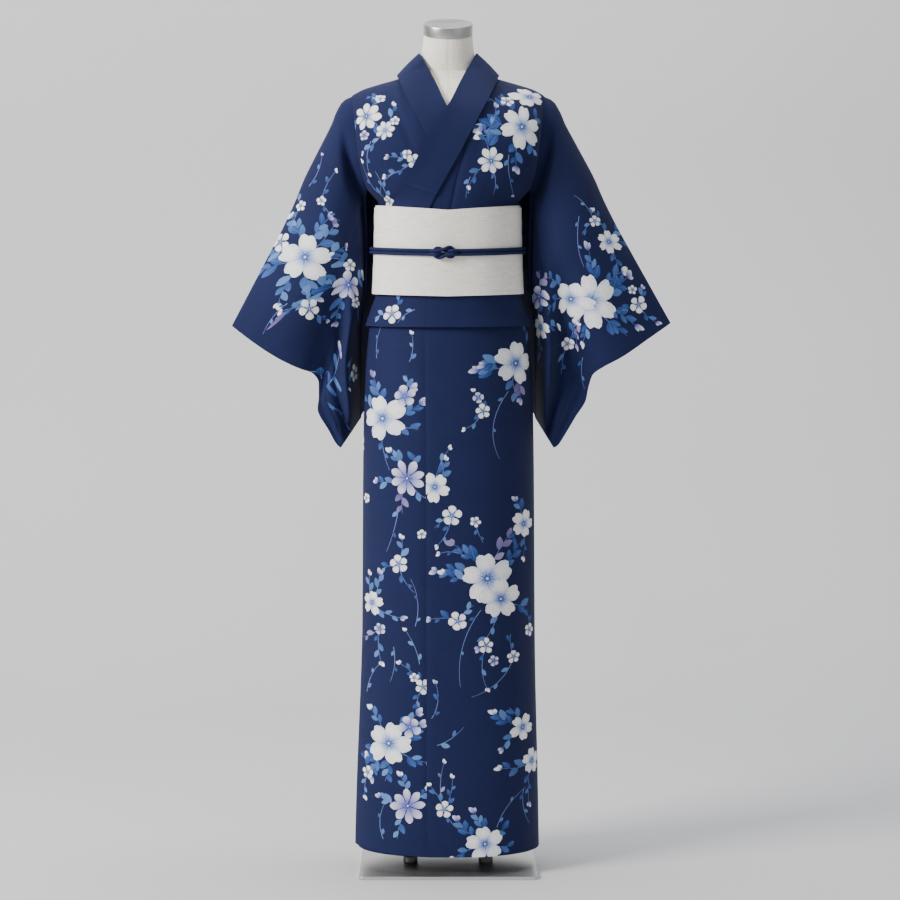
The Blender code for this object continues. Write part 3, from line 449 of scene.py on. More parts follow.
# sleeve edges: share of the drop, x, y, z and half of the gap between front and back
innerEdge = np.array([
    (0.40, 0.1530, 0.003, 1.2640, 0.0300),
    (0.46, 0.1515, 0.004, 1.2320, 0.0270),
    (0.54, 0.1500, 0.008, 1.1720, 0.0250),
    (0.64, 0.1510, 0.016, 1.1000, 0.0240),
    (0.70, 0.1565, 0.026, 1.0500, 0.0240),
    (0.76, 0.1612, 0.034, 1.0100, 0.0240),
    (0.84, 0.1635, 0.046, 0.9450, 0.0220),
    (0.92, 0.1640, 0.060, 0.8850, 0.0160),
    (0.97, 0.1645, 0.066, 0.8520, 0.0090),
    (1.00, 0.1650, 0.068, 0.8420, 0.0020),
])
cuffEdges = {
    1: np.array([
        (0.00, 0.4130, -0.004, 1.0225, 0.002),
        (0.03, 0.4050, -0.004, 1.0170, 0.007),
        (0.13, 0.3720, -0.006, 0.9960, 0.020),
        (0.26, 0.3260, -0.010, 0.9655, 0.026),
        (0.38, 0.2880, -0.014, 0.9440, 0.018),
        (0.46, 0.2680, -0.014, 0.9270, 0.006),
        (0.54, 0.2610, -0.012, 0.9040, 0.0012),
        (0.64, 0.2560, -0.014, 0.8800, 0.0012),
        (0.76, 0.2370, -0.022, 0.8500, 0.0012),
        (0.90, 0.2140, -0.032, 0.8130, 0.0012),
        (0.97, 0.2020, -0.036, 0.7960, 0.0012),
        (1.00, 0.1960, -0.036, 0.7930, 0.0015),
    ]),
    -1: np.array([
        (0.00, 0.4010, -0.004, 1.0175, 0.002),
        (0.03, 0.3940, -0.004, 1.0120, 0.007),
        (0.13, 0.3610, -0.006, 0.9890, 0.020),
        (0.26, 0.3150, -0.010, 0.9610, 0.026),
        (0.38, 0.2740, -0.014, 0.9410, 0.018),
        (0.46, 0.2530, -0.014, 0.9320, 0.006),
        (0.54, 0.2400, -0.010, 0.9120, 0.0012),
        (0.64, 0.2400, -0.012, 0.8880, 0.0012),
        (0.76, 0.2420, -0.020, 0.8640, 0.0012),
        (0.90, 0.2190, -0.032, 0.8220, 0.0012),
        (0.97, 0.2060, -0.036, 0.7990, 0.0012),
        (1.00, 0.1990, -0.036, 0.7930, 0.0015),
    ]),
}
sleeve = {
    "sewnDrop": 0.40,
    "roundAlong": np.array([0.0, 0.03, 0.07, 0.13, 0.34, 0.47, 0.58]),
    "roundOut": np.array([0.0, 0.0120, 0.0125, 0.0095, 0.0080, 0.0025, 0.0]),
    "stations": 58,
    "levels": 44,
    "softFold": 0.0030,
    # deep crease beside the armhole: its middle and width along the sleeve
    "crease": {1: (0.048, 0.030), -1: (0.066, 0.040)},
    "creaseDepth": 0.022,
    "belly": 0.022,
    "foldDepth": 0.030,
    # how the back layer's inner edge hangs in behind the body below the armhole
    "behindIn": 0.026,
    "behindBack": 0.036,
    "behindUp": 0.022,
}


def armholePoint(side, share, layer):
    if share < 0.6:
        kind, value = "shoulder", math.radians(84) * (1 - share / 0.6)
    else:
        kind, value = "bodice", float(np.interp(share, (0.6, 1.0), (cloth["chest"], 1.268)))
    angle = side * (math.pi / 2 + layer * cloth["seamGap"] / cloth["shoulderHalf"])
    lift = layerLift(side, "blouse", kind, value, [angle])
    return raisedPoints(kind, value, [angle], lift)[0] + np.array([side * 0.0003, 0, 0])


def sleeveColumn(side, drop, layer, along):
    # points of a sleeve at one drop, along from the armhole (0) to the cuff (1)
    inner, cuff = ([float(smoothCurve(edge[:, 0], edge[:, k], drop)) for k in (1, 2, 3, 4)]
                   for edge in (innerEdge, cuffEdges[side]))
    if drop <= sleeve["sewnDrop"]:
        seam = armholePoint(side, drop / sleeve["sewnDrop"], layer)
        inner = [side * seam[0], 0.0, seam[2], layer * seam[1]]
    x = inner[0] + (cuff[0] - inner[0]) * along
    z = inner[2] + (cuff[2] - inner[2]) * along
    rounding = smoothCurve(sleeve["roundAlong"], sleeve["roundOut"], along) * float(1 - ease(drop, 0.0, 0.45))
    x = x + rounding
    z = z + rounding * 0.2
    y = inner[1] + (cuff[1] - inner[1]) * ease(along, 0.0, 0.85)
    gap = inner[3] + (cuff[3] - inner[3]) * along
    belly = sleeve["belly"] * np.sin(math.pi * along) * math.sin(math.pi * min(1, drop / 0.62)) ** 0.8
    lower = float(ease(drop, 0.40, 0.80) * (1 - ease(drop, 0.93, 1.0)))
    fold = np.sin(math.pi * np.clip(along / 0.62, 0, 1)) ** 2 * (1 - ease(along, 0.62, 0.75))
    y = y - sleeve["foldDepth"] * fold * lower
    gap = gap + belly * (1 - 0.5 * lower) + 0.006 * fold * lower
    if layer < 0:
        y = y - 0.010 * np.sin(2 * math.pi * along) * float(ease(drop, 0.2, 0.5) * (1 - ease(drop, 0.9, 1.0)))
        middle, width = sleeve["crease"][side]
        reach = float(ease(drop, 0.10, 0.28) * (1 - ease(drop, 0.55, 0.78)))
        y = y + sleeve["creaseDepth"] * np.exp(-((along - middle) / width) ** 2) * reach
    else:
        z = z - 0.006 * along * math.sin(math.pi * min(1, drop / 0.5))
        behind = float(1 - ease(drop, 0.90, 0.99)) * (1 - ease(along, 0.0, 0.22))
        x = x - sleeve["behindIn"] * behind * float(ease(drop, 0.405, 0.435))
        y = y + sleeve["behindBack"] * behind * float(ease(drop, 0.40, 0.425))
        z = z + sleeve["behindUp"] * behind * float(ease(drop, 0.402, 0.425) * (1 - ease(drop, 0.50, 0.70)))
    # soft flutes that open downwards, deepest near the bottom
    flute = sleeve["softFold"] * float(ease(drop, 0.12, 0.7) * (1 - ease(drop, 0.90, 1.0)))
    waves = np.sin(2 * math.pi * (3.1 * along ** 0.8 + 0.15 * layer))
    y = y + layer * flute * waves * np.sin(math.pi * along) ** 0.5
    return np.stack([side * x, y + layer * gap, z], axis=-1)


def sleeveGrid(side):
    along = np.linspace(0, 1, sleeve["stations"])
    drops = np.concatenate([[0.0, 0.012, 0.03], np.linspace(0.055, 0.96, sleeve["levels"]), [0.98, 1.0]])
    columns = [sleeveColumn(side, float(d), -1, along) for d in drops]
    columns += [sleeveColumn(side, float(d), 1, along) for d in drops[::-1]]
    columns.append(columns[0])
    return np.array(columns)


def splineWeights(t):
    return [(-t + 2 * t * t - t ** 3) / 2, (2 - 5 * t * t + 3 * t ** 3) / 2,
            (t + 4 * t * t - 3 * t ** 3) / 2, (t ** 3 - t * t) / 2]


def sampleGrid(grid, rowPlace, columnPlace):
    # smooth point of a grid of points at fractional rows and columns
    rows, columns = grid.shape[:2]
    r = np.clip(np.floor(rowPlace).astype(int), 0, rows - 2)
    c = np.clip(np.floor(columnPlace).astype(int), 0, columns - 2)
    rowWeights, columnWeights = splineWeights(rowPlace - r), splineWeights(columnPlace - c)
    total = np.zeros((len(r), grid.shape[2]))
    for i in range(4):
        for j in range(4):
            corner = grid[np.clip(r + i - 1, 0, rows - 1), np.clip(c + j - 1, 0, columns - 1)]
            total += corner * (rowWeights[i] * columnWeights[j])[:, None]
    return total


def clothSpacing(grid):
    # distances in metres along the cloth for the columns and the rows
    across = np.linalg.norm(np.diff(grid, axis=1), axis=2).mean(0)
    down = np.linalg.norm(np.diff(grid, axis=0), axis=2).mean(1)
    return np.concatenate([[0], np.cumsum(across)]), np.concatenate([[0], np.cumsum(down)])


def placeObject(name, data, materials=()):
    piece = bpy.data.objects.new(name, data)
    bpy.context.scene.collection.objects.link(piece)
    for material in materials:
        data.materials.append(material)
    return piece


def mendMesh(mesh, fillHoles=False, turnOut=True):
    # joins points that meet, closes open ends and turns the faces outward
    build = bmesh.new()
    build.from_mesh(mesh)
    bmesh.ops.remove_doubles(build, verts=build.verts, dist=1e-6)
    if fillHoles:
        bmesh.ops.holes_fill(build, edges=[e for e in build.edges if e.is_boundary], sides=0)
    if turnOut:
        bmesh.ops.recalc_face_normals(build, faces=build.faces)
    build.to_mesh(mesh)
    build.free()


def applyModifiers(piece, name):
    shaped = bpy.data.meshes.new_from_object(piece.evaluated_get(bpy.context.evaluated_depsgraph_get()))
    piece.modifiers.clear()
    piece.data = shaped
    shaped.name = name
    return shaped


def finishCloth(name, mesh, materials, thickness):
    # gives the sheet its thickness, half to each side, and keeps its cut edges crisp
    piece = placeObject(name, mesh, materials)
    mendMesh(mesh, turnOut=False)
    wall = piece.modifiers.new("Thickness", "SOLIDIFY")
    wall.thickness = thickness
    wall.offset = 0.0
    wall.use_even_offset = False
    shaped = applyModifiers(piece, name)
    shaped.shade_smooth()
    shaped.set_sharp_from_angle(angle=math.radians(50))
    return piece


def gridFaces(rows, columns):
    return [(r * columns + c, r * columns + c + 1, (r + 1) * columns + c + 1, (r + 1) * columns + c)
            for r in range(rows - 1) for c in range(columns - 1)]


def addPlaces(mesh, name, placesOf=None):
    # a UV layer from the points of the mesh, each loop by its point's number
    layer = mesh.uv_layers.new(name=name)
    if placesOf:
        index = np.empty(len(mesh.loops), dtype=int)
        mesh.loops.foreach_get("vertex_index", index)
        layer.data.foreach_set("uv", placesOf(index).ravel())


def gridMesh(name, grid):
    rows, columns = grid.shape[:2]
    mesh = bpy.data.meshes.new(name)
    mesh.from_pydata(grid.reshape(-1, 3).tolist(), [], gridFaces(rows, columns))
    u, v = clothSpacing(grid)
    addPlaces(mesh, "cloth", lambda index: np.stack([u[index % columns], v[index // columns]], axis=1))
    addPlaces(mesh, "motif")
    return mesh


def printedMesh(name, grid, shapes):
    # shapes are outlines on the flat cloth: {"points", "ink", "place"}, drawn in their order
    rows, columns = grid.shape[:2]
    u, v = clothSpacing(grid)
    points = [(float(u[c]), float(v[r])) for r in range(rows) for c in range(columns)]
    edges = [(r * columns + c, r * columns + c + 1) for r in range(rows) for c in range(columns - 1)]
    edges += [(r * columns + c, (r + 1) * columns + c) for r in range(rows - 1) for c in range(columns)]
    border = list(range(columns)) + [r * columns + columns - 1 for r in range(1, rows)]
    border += [(rows - 1) * columns + c for c in range(columns - 2, -1, -1)]
    border += [r * columns for r in range(rows - 2, 0, -1)]
    faces = [border]
    for shape in shapes:
        outline = shape["points"]
        area = sum(a[0] * b[1] - b[0] * a[1] for a, b in zip(outline, outline[1:] + outline[:1]))
        if area < 0:
            outline = outline[::-1]
        faces.append(list(range(len(points), len(points) + len(outline))))
        points += [(float(a), float(b)) for a, b in outline]
    flat, _, cells, _, _, inside = delaunay_2d_cdt([Vector(p) for p in points], edges, faces, 0, 1e-7, True)
    kept = [(cell, max(found)) for cell, found in zip(cells, inside) if 0 in found]
    flat = np.array([(p.x, p.y) for p in flat])
    places = sampleGrid(grid, np.interp(flat[:, 1], v, np.arange(rows)),
                        np.interp(flat[:, 0], u, np.arange(columns)))
    mesh = bpy.data.meshes.new(name)
    mesh.from_pydata(places.tolist(), [], [cell for cell, _ in kept])
    addPlaces(mesh, "cloth", lambda index: flat[index])
    motif, inks, k = np.zeros((len(mesh.loops), 2)), [], 0
    for cell, top in kept:
        shape = shapes[top - 1] if top else None
        inks.append(shape["ink"] if shape else 0)
        if shape:
            motif[k:k + len(cell)] = shape["place"](flat[list(cell)])
        k += len(cell)
    mesh.uv_layers.new(name="motif").data.foreach_set("uv", motif.ravel())
    mesh.polygons.foreach_set("material_index", inks)
    return mesh


# places in inks of the three that the motifs don't name for themselves
stemInk, centreInk, starInk = 5, 6, 7
# half outlines of the motifs: share of the length and share of the half width
petalSide = [(0.03, 0.14), (0.16, 0.42), (0.30, 0.68), (0.45, 0.90), (0.60, 1.00), (0.73, 0.98),
             (0.84, 0.84), (0.90, 0.80), (0.99, 0.48), (0.955, 0.22)]
narrowSide = [(0.10, 0.14), (0.28, 0.40), (0.46, 0.76), (0.64, 1.00), (0.80, 0.96), (0.91, 0.66), (1.00, 0.22)]
smallSide = [(0.12, 0.16), (0.34, 0.42), (0.52, 0.86), (0.68, 1.00), (0.84, 0.90), (0.94, 0.58), (1.00, 0.20)]
leafSide = [(0.00, 0.05), (0.14, 0.56), (0.36, 0.98), (0.60, 1.00), (0.82, 0.66), (0.94, 0.30), (1.00, 0.03)]


def outlineOf(profile, length, width, notch, wobble):
    right = [(s * length, w * width / 2 * (1 + wobble * math.sin(7 * s + 1))) for s, w in profile]
    left = [(s * length, -w * width / 2 * (1 - wobble * math.sin(5 * s + 2))) for s, w in profile[::-1]]
    tip = [((1 - notch) * length, 0.0)] if notch else []
    return right + tip + left


class Printer:
    # draws motifs on one cloth grid: each is placed by where it shows and spread over the cloth there
    def __init__(self, grid, zones, seed):
        self.grid, self.zones, self.shapes = grid, zones, []
        self.u, self.v = clothSpacing(grid)
        self.random = random.Random(seed)

    def find(self, x, z, zone):
        low, high, left, right = self.zones[zone]
        part = self.grid[low:high, left:right]
        away = (part[:, :, 0] - x) ** 2 + (part[:, :, 2] - z) ** 2
        r, c = np.unravel_index(int(np.argmin(away)), away.shape)
        r, c = int(np.clip(r + low, low + 1, high - 2)), int(np.clip(c + left, left + 1, right - 2))
        alongU = (self.grid[r, c + 1] - self.grid[r, c - 1]) / (self.u[c + 1] - self.u[c - 1])
        alongV = (self.grid[r + 1, c] - self.grid[r - 1, c]) / (self.v[r + 1] - self.v[r - 1])
        facing = np.cross(alongU, alongV)
        facing /= np.linalg.norm(facing)
        up = np.array([0.0, 0.0, 1.0]) - facing * facing[2]
        up /= np.linalg.norm(up)
        across = np.cross(up, facing)
        across *= 1.0 if across[0] > 0 else -1.0
        # widened where the cloth turns away, so that it shows at its size from the front
        widen, heighten = min(1.30, 1 / max(0.3, abs(across[0]))), min(1.2, 1 / max(0.3, abs(up[2])))
        spread = np.stack([across * widen, up * heighten], axis=1)
        solve = np.linalg.pinv(np.stack([alongU, alongV], axis=1)) @ spread
        miss = np.array([x - self.grid[r, c, 0], z - self.grid[r, c, 2]])
        centre = np.array([self.u[c], self.v[r]]) + solve @ miss
        return centre, solve

    def draw(self, anchor, outline, turn, ink, length, width, shift=(0.0, 0.0)):
        centre, solve = anchor
        cosine, sine = math.cos(turn), math.sin(turn)
        rotate = np.array([[cosine, -sine], [sine, cosine]])
        spread = solve @ rotate
        start = centre + solve @ np.array(shift)
        places = [tuple(start + spread @ np.array(p)) for p in outline]
        back = np.linalg.inv(spread)
        bank = self.random.randrange(1, 40)

        def place(flat):
            local = (flat - start) @ back.T
            along = np.clip(local[:, 0] / length, 0.01, 0.97)
            return np.stack([along + bank, np.clip(local[:, 1] / width + 0.5, 0, 1)], axis=1)
        self.shapes.append({"points": places, "ink": ink, "place": place})

    def flower(self, zone, x, z, radius, turn, petals=5, ink=1, flat=1.0):
        # the entries of prints, in mm and degrees
        anchor, radius, turn = self.find(x / 1000, z / 1000, zone), radius / 1000, math.radians(turn)
        if flat != 1.0:
            anchor = (anchor[0], anchor[1] @ np.diag([1.0, flat]))
        side, share, notch = petalSide, 3.5, 0.09
        if petals > 6:
            side, notch = narrowSide, 0.0
        elif radius < 0.021:
            side, share, notch = smallSide, 3.7, 0.0
        for k in range(petals):
            angle = turn + 2 * math.pi * k / petals + self.random.uniform(-0.05, 0.05)
            length = radius * self.random.uniform(0.90, 1.06)
            width = radius * share / petals * self.random.uniform(0.92, 1.10)
            self.draw(anchor, outlineOf(side, length, width, notch, 0.07), angle, ink, length, width)
        for k in range(10 if radius > 0.018 else 0):
            angle = turn + 2 * math.pi * (k + self.random.uniform(-0.3, 0.3)) / 10
            reach, wide = radius * self.random.uniform(0.24, 0.44), radius * self.random.uniform(0.014, 0.026)
            ray = [(radius * 0.06, -wide), (reach, 0.0), (radius * 0.06, wide)]
            self.draw(anchor, ray, angle, starInk, radius, radius)
        dot = [(radius * 0.055 * math.cos(a), radius * 0.055 * math.sin(a))
               for a in np.linspace(0, 2 * math.pi, 8)[:-1]]
        self.draw(anchor, dot, 0.0, centreInk, radius, radius)
        if radius > 0.03:
            for k in range(7):
                angle = turn + 2 * math.pi * (k + self.random.uniform(-0.3, 0.3)) / 9
                reach = radius * self.random.uniform(0.15, 0.23)
                small = [(p[0] * 0.30, p[1] * 0.30) for p in dot]
                place = (reach * math.cos(angle), reach * math.sin(angle))
                self.draw(anchor, small, 0.0, centreInk, radius, radius, place)

    def leaf(self, anchor, shift, turn, length, ink, wide=0.52):
        width = length * wide
        self.draw(anchor, outlineOf(leafSide, length, width, 0.0, 0.08), turn, ink, length, width, shift)

    def stem(self, anchor, path, width):
        left, right = [], []
        for k, (px, pz) in enumerate(path):
            before, after = path[max(0, k - 1)], path[min(len(path) - 1, k + 1)]
            dx, dz = after[0] - before[0], after[1] - before[1]
            size = math.hypot(dx, dz) or 1.0
            half = width / 2 * (1 - 0.6 * k / (len(path) - 1))
            left.append((px - dz / size * half, pz + dx / size * half))
            right.append((px + dz / size * half, pz - dx / size * half))
        self.draw(anchor, left + right[::-1], 0.0, stemInk, 0.1, 0.1)

    def sprig(self, zone, x, z, covered, angle, length, bend, leaves, size, tip=None, ink=3):
        # covered is the radius of a flower that hides the sprig's start
        anchor, start = self.find(x / 1000, z / 1000, zone), min(0.7, 0.8 * covered / length)
        length, size, heading = length / 1000, size / 1000, math.radians(angle)
        steps, place, path, headings = 9, (0.0, 0.0), [(0.0, 0.0)], []
        for k in range(steps):
            headings.append(heading)
            place = (place[0] + math.cos(heading) * length / steps, place[1] + math.sin(heading) * length / steps)
            path.append(place)
            heading += bend / steps
        self.stem(anchor, path, 0.0013)
        count = max(2, int(round(leaves * 0.5)))
        for k in range(count):
            at = min(steps - 1, int(round(steps * (start + (0.85 - start) * (k + 0.3) / count))))
            turn = headings[at] + (0.65 if k % 2 else -0.65) * self.random.uniform(0.6, 1.1)
            reach = size * self.random.uniform(0.95, 1.50) * (1 - 0.30 * k / count)
            self.leaf(anchor, path[at], turn, reach, ink)
        if tip is not None:
            self.leaf(anchor, path[-1], headings[-1] + 0.25, size * 0.85, tip, 0.58)
            self.leaf(anchor, path[-1], headings[-1] - 0.55, size * 0.60, tip, 0.58)


def newMaterial(name):
    material = bpy.data.materials.new(name)
    material.use_nodes = True
    return material, material.node_tree, material.node_tree.nodes["Principled BSDF"]


def addNode(tree, kind, inputs=None, **settings):
    node = tree.nodes.new(kind)
    for key, value in settings.items():
        setattr(node, key, value)
    for key, value in (inputs or {}).items():
        if isinstance(value, bpy.types.NodeSocket):
            tree.links.new(value, node.inputs[key])
        else:
            node.inputs[key].default_value = value
    return node


def addMath(tree, operation, first, second=None, clamp=False):
    inputs = {0: first} if second is None else {0: first, 1: second}
    return addNode(tree, "ShaderNodeMath", inputs, operation=operation, use_clamp=clamp).outputs[0]


def addMix(tree, factor, first, second, blend="MIX"):
    node = addNode(tree, "ShaderNodeMix", data_type="RGBA", blend_type=blend)
    for key, value in ((0, factor), (6, first), (7, second)):
        if isinstance(value, bpy.types.NodeSocket):
            tree.links.new(value, node.inputs[key])
        else:
            node.inputs[key].default_value = value if key == 0 else (*value, 1.0)
    return node.outputs[2]


def addRamp(tree, factor, stops):
    node = addNode(tree, "ShaderNodeValToRGB", {"Fac": factor})
    ramp = node.color_ramp
    while len(ramp.elements) < len(stops):
        ramp.elements.new(0.5)
    for element, (place, colour) in zip(ramp.elements, stops):
        element.position = place
        element.color = (*colour, 1.0)
    return node.outputs["Color"]


def clothPlace(tree, layer="cloth"):
    return addNode(tree, "ShaderNodeUVMap", uv_map=layer).outputs[0]


def objectPlace(tree):
    return addNode(tree, "ShaderNodeTexCoord").outputs["Object"]


def addNoise(tree, place, scale, detail=2.0, stretch=None, roughness=0.5):
    # drawn out along one direction where a stretch is given
    if stretch:
        place = addNode(tree, "ShaderNodeMapping", {"Vector": place, "Scale": stretch}).outputs[0]
    inputs = {"Vector": place, "Scale": scale, "Detail": detail, "Roughness": roughness}
    return addNode(tree, "ShaderNodeTexNoise", inputs).outputs[0]


def weaveGroup():
    # plain weave: takes an ink and gives it thread by thread, with the height of the threads
    tree = bpy.data.node_groups.new("Plain weave", "ShaderNodeTree")
    for name, way, kind in (("Ink", "INPUT", "Color"), ("Threads", "INPUT", "Float"), ("Wear", "INPUT", "Float"),
                            ("Color", "OUTPUT", "Color"), ("Normal", "OUTPUT", "Vector")):
        tree.interface.new_socket(name, in_out=way, socket_type="NodeSocket" + kind)
    entry, leave = tree.nodes.new("NodeGroupInput"), tree.nodes.new("NodeGroupOutput")
    place = clothPlace(tree)
    parts = addNode(tree, "ShaderNodeSeparateXYZ", {0: place})
    across = addMath(tree, "SINE", addMath(tree, "MULTIPLY", parts.outputs[0], entry.outputs["Threads"]))
    down = addMath(tree, "SINE", addMath(tree, "MULTIPLY", parts.outputs[1], entry.outputs["Threads"]))
    threads = addMath(tree, "MULTIPLY", across, down)
    slubs = addNoise(tree, place, 520.0, 3.0, (1.0, 0.22, 1.0))
    clouds = addNoise(tree, place, 16.0, 4.0)
    height = addMath(tree, "ADD", addMath(tree, "MULTIPLY", threads, 0.5), slubs)
    tone = addMath(tree, "ADD", addMath(tree, "MULTIPLY", addMath(tree, "SUBTRACT", slubs, 0.5), 0.5),
                   addMath(tree, "MULTIPLY", addMath(tree, "SUBTRACT", clouds, 0.5), entry.outputs["Wear"]))
    toned = addNode(tree, "ShaderNodeVectorMath", {0: entry.outputs["Ink"]}, operation="SCALE")
    tree.links.new(addMath(tree, "ADD", tone, 1.0), toned.inputs["Scale"])
    bump = addNode(tree, "ShaderNodeBump", {"Height": height, "Strength": 0.35, "Distance": 0.0004})
    tree.links.new(toned.outputs[0], leave.inputs["Color"])
    tree.links.new(bump.outputs[0], leave.inputs["Normal"])
    return tree


weave = weaveGroup()
# turns of the weave's waves in a metre, from the width of two threads
cottonThreads, obiThreads, linenThreads = (2 * math.pi / width for width in (0.0009, 0.0016, 0.0011))


def clothInk(name, ink, roughness=0.78, wear=0.30, threads=cottonThreads):
    # ink makes the colour from the tree and the motif coordinates
    material, tree, shader = newMaterial(name)
    group = tree.nodes.new("ShaderNodeGroup")
    group.node_tree = weave
    group.inputs["Threads"].default_value = threads
    group.inputs["Wear"].default_value = wear
    place = addNode(tree, "ShaderNodeSeparateXYZ", {0: clothPlace(tree, "motif")})
    along = addMath(tree, "FRACT", place.outputs[0])
    bank = addMath(tree, "FLOOR", place.outputs[0])
    colour = ink(tree, along, place.outputs[1], bank)
    if isinstance(colour, tuple):
        group.inputs["Ink"].default_value = (*colour, 1.0)
    else:
        tree.links.new(colour, group.inputs["Ink"])
    tree.links.new(group.outputs["Color"], shader.inputs["Base Color"])
    tree.links.new(group.outputs["Normal"], shader.inputs["Normal"])
    shader.inputs["Roughness"].default_value = roughness
    shader.inputs["Sheen Weight"].default_value = 0.03
    shader.inputs["Sheen Roughness"].default_value = 0.5
    shader.inputs["Specular IOR Level"].default_value = 0.18
    return material


def bankSpread(tree, bank):
    # a different share for each motif, from its number
    return addMath(tree, "FRACT", addMath(tree, "MULTIPLY", bank, 0.618))


def petalInk(stops, streak):
    def ink(tree, along, across, bank):
        base = addRamp(tree, along, stops)
        veins = addMath(tree, "SINE", addMath(tree, "MULTIPLY", across, 34.0))
        inward = addMath(tree, "SUBTRACT", 1.0, addMath(tree, "MULTIPLY", along, 1.5))
        veins = addMath(tree, "MULTIPLY", addMath(tree, "MULTIPLY", veins, 0.5), inward, clamp=True)
        edge = addMath(tree, "POWER", addMath(tree, "ABSOLUTE", addMath(tree, "SUBTRACT", across, 0.5)), 2.0)
        edge = addMath(tree, "MULTIPLY", edge, 1.1, clamp=True)
        tint = addMath(tree, "MULTIPLY", bankSpread(tree, bank), 0.16)
        shade = addMath(tree, "ADD", addMath(tree, "ADD", veins, edge), tint, clamp=True)
        return addMix(tree, shade, base, streak)
    return ink


def leafInk(low, high, pale):
    def ink(tree, along, across, bank):
        base = addMix(tree, along, low, high)
        spread = addMath(tree, "POWER", bankSpread(tree, bank), 2.0)
        base = addMix(tree, addMath(tree, "MULTIPLY", spread, 0.95), base, pale)
        rib = addMath(tree, "ABSOLUTE", addMath(tree, "SUBTRACT", across, 0.5))
        rib = addMath(tree, "SUBTRACT", 1.0, addMath(tree, "MULTIPLY", rib, 14.0), clamp=True)
        return addMix(tree, addMath(tree, "MULTIPLY", rib, 0.35), base, pale)
    return ink


def plainInk(colour):
    return lambda tree, along, across, bank: colour


navyCotton = clothInk("Navy cotton", plainInk((0.0065, 0.0112, 0.0560)))
# from the flower's middle to the end of a petal
whiteStops = [(0.0, (0.02, 0.05, 0.24)), (0.12, (0.07, 0.15, 0.45)),
              (0.30, (0.52, 0.58, 0.76)), (0.48, (0.96, 0.94, 0.89))]
lilacStops = [(0.0, (0.03, 0.03, 0.22)), (0.22, (0.12, 0.14, 0.46)),
              (0.55, (0.46, 0.45, 0.66)), (0.95, (0.80, 0.77, 0.80))]
inks = [
    navyCotton,
    clothInk("White petal ink", petalInk(whiteStops, (0.20, 0.30, 0.66)), wear=0.06),
    clothInk("Lilac petal ink", petalInk(lilacStops, (0.16, 0.18, 0.52)), wear=0.10),
    clothInk("Blue leaf ink", leafInk((0.010, 0.030, 0.14), (0.034, 0.088, 0.30), (0.13, 0.25, 0.52)), wear=0.20),
    clothInk("Lilac leaf ink", leafInk((0.07, 0.06, 0.22), (0.17, 0.14, 0.33), (0.36, 0.32, 0.50)), wear=0.20),
    clothInk("Stem ink", plainInk((0.16, 0.20, 0.44)), wear=0.20),
    clothInk("Flower centre ink", plainInk((0.72, 0.70, 0.66)), wear=0.10),
    clothInk("Flower star ink", plainInk((0.040, 0.080, 0.30)), wear=0.10),
]


def obiInk(tree, along, across, bank):
    place = clothPlace(tree)
    slub = addNoise(tree, place, 620.0, 4.0, (0.05, 1.0, 1.0), 0.62)
    cross = addNoise(tree, place, 760.0, 2.0, (1.0, 0.06, 1.0))
    tone = addMath(tree, "ADD", addMath(tree, "MULTIPLY", slub, 0.75), addMath(tree, "MULTIPLY", cross, 0.25))
    return addRamp(tree, tone, [(0.30, (0.71, 0.67, 0.59)), (0.48, (0.87, 0.83, 0.75)),
                                (0.62, (0.93, 0.90, 0.84)), (0.75, (0.97, 0.95, 0.89))])


obiCloth = clothInk("Slubbed obi cloth", obiInk, 0.82, 0.06, obiThreads)
obiHem = clothInk("Obi hem", lambda tree, *rest: addMix(tree, 0.5, obiInk(tree, *rest), (0.88, 0.85, 0.79)),
                  0.82, 0.05, obiThreads)


def linenInk(tree, along, across, bank):
    slub = addNoise(tree, clothPlace(tree), 420.0, 4.0, (1.0, 0.08, 1.0))
    cover = addRamp(tree, slub, [(0.3, (0.86, 0.79, 0.66)), (0.5, (0.95, 0.89, 0.77)), (0.7, (0.98, 0.94, 0.85))])
    # the seam down the middle of the form's front
    middle = addNode(tree, "ShaderNodeSeparateXYZ", {0: objectPlace(tree)}).outputs[0]
    away = addMath(tree, "MULTIPLY", addMath(tree, "ABSOLUTE", middle), 1 / 0.0011)
    seam = addMath(tree, "SUBTRACT", 1.0, away, clamp=True)
    return addMix(tree, addMath(tree, "MULTIPLY", seam, 0.45), cover, (0.42, 0.37, 0.30))


linenCloth = clothInk("Natural linen", linenInk, 0.85, 0.08, linenThreads)


def cordMaterial():
    # a round braid: two sets of strands that wind opposite ways round the cord
    material, tree, shader = newMaterial("Navy braid")
    place = addNode(tree, "ShaderNodeSeparateXYZ", {0: clothPlace(tree)})
    along = addMath(tree, "MULTIPLY", place.outputs[0], 2 * math.pi / 0.0042)
    around = addMath(tree, "MULTIPLY", place.outputs[1], 2 * math.pi * 4)
    one = addMath(tree, "SINE", addMath(tree, "ADD", along, around))
    other = addMath(tree, "SINE", addMath(tree, "SUBTRACT", along, around))
    braid = addMath(tree, "MAXIMUM", one, other)
    fuzz = addNoise(tree, objectPlace(tree), 900.0)
    height = addMath(tree, "ADD", braid, addMath(tree, "MULTIPLY", fuzz, 0.4))
    # painted shade: the colour follows the braid's height, darker in the grooves between the strands and lighter on
    # their tops
    tone = addMath(tree, "MULTIPLY", addMath(tree, "ADD", braid, 1.0), 0.5)
    stops = [(0.1, (0.003, 0.005, 0.026)), (0.6, (0.007, 0.011, 0.052)), (1.0, (0.011, 0.018, 0.078))]
    bump = addNode(tree, "ShaderNodeBump", {"Height": height, "Strength": 0.8, "Distance": 0.0004})
    tree.links.new(addRamp(tree, tone, stops), shader.inputs["Base Color"])
    tree.links.new(bump.outputs[0], shader.inputs["Normal"])
    shader.inputs["Roughness"].default_value = 0.7
    shader.inputs["Specular IOR Level"].default_value = 0.2
    return material


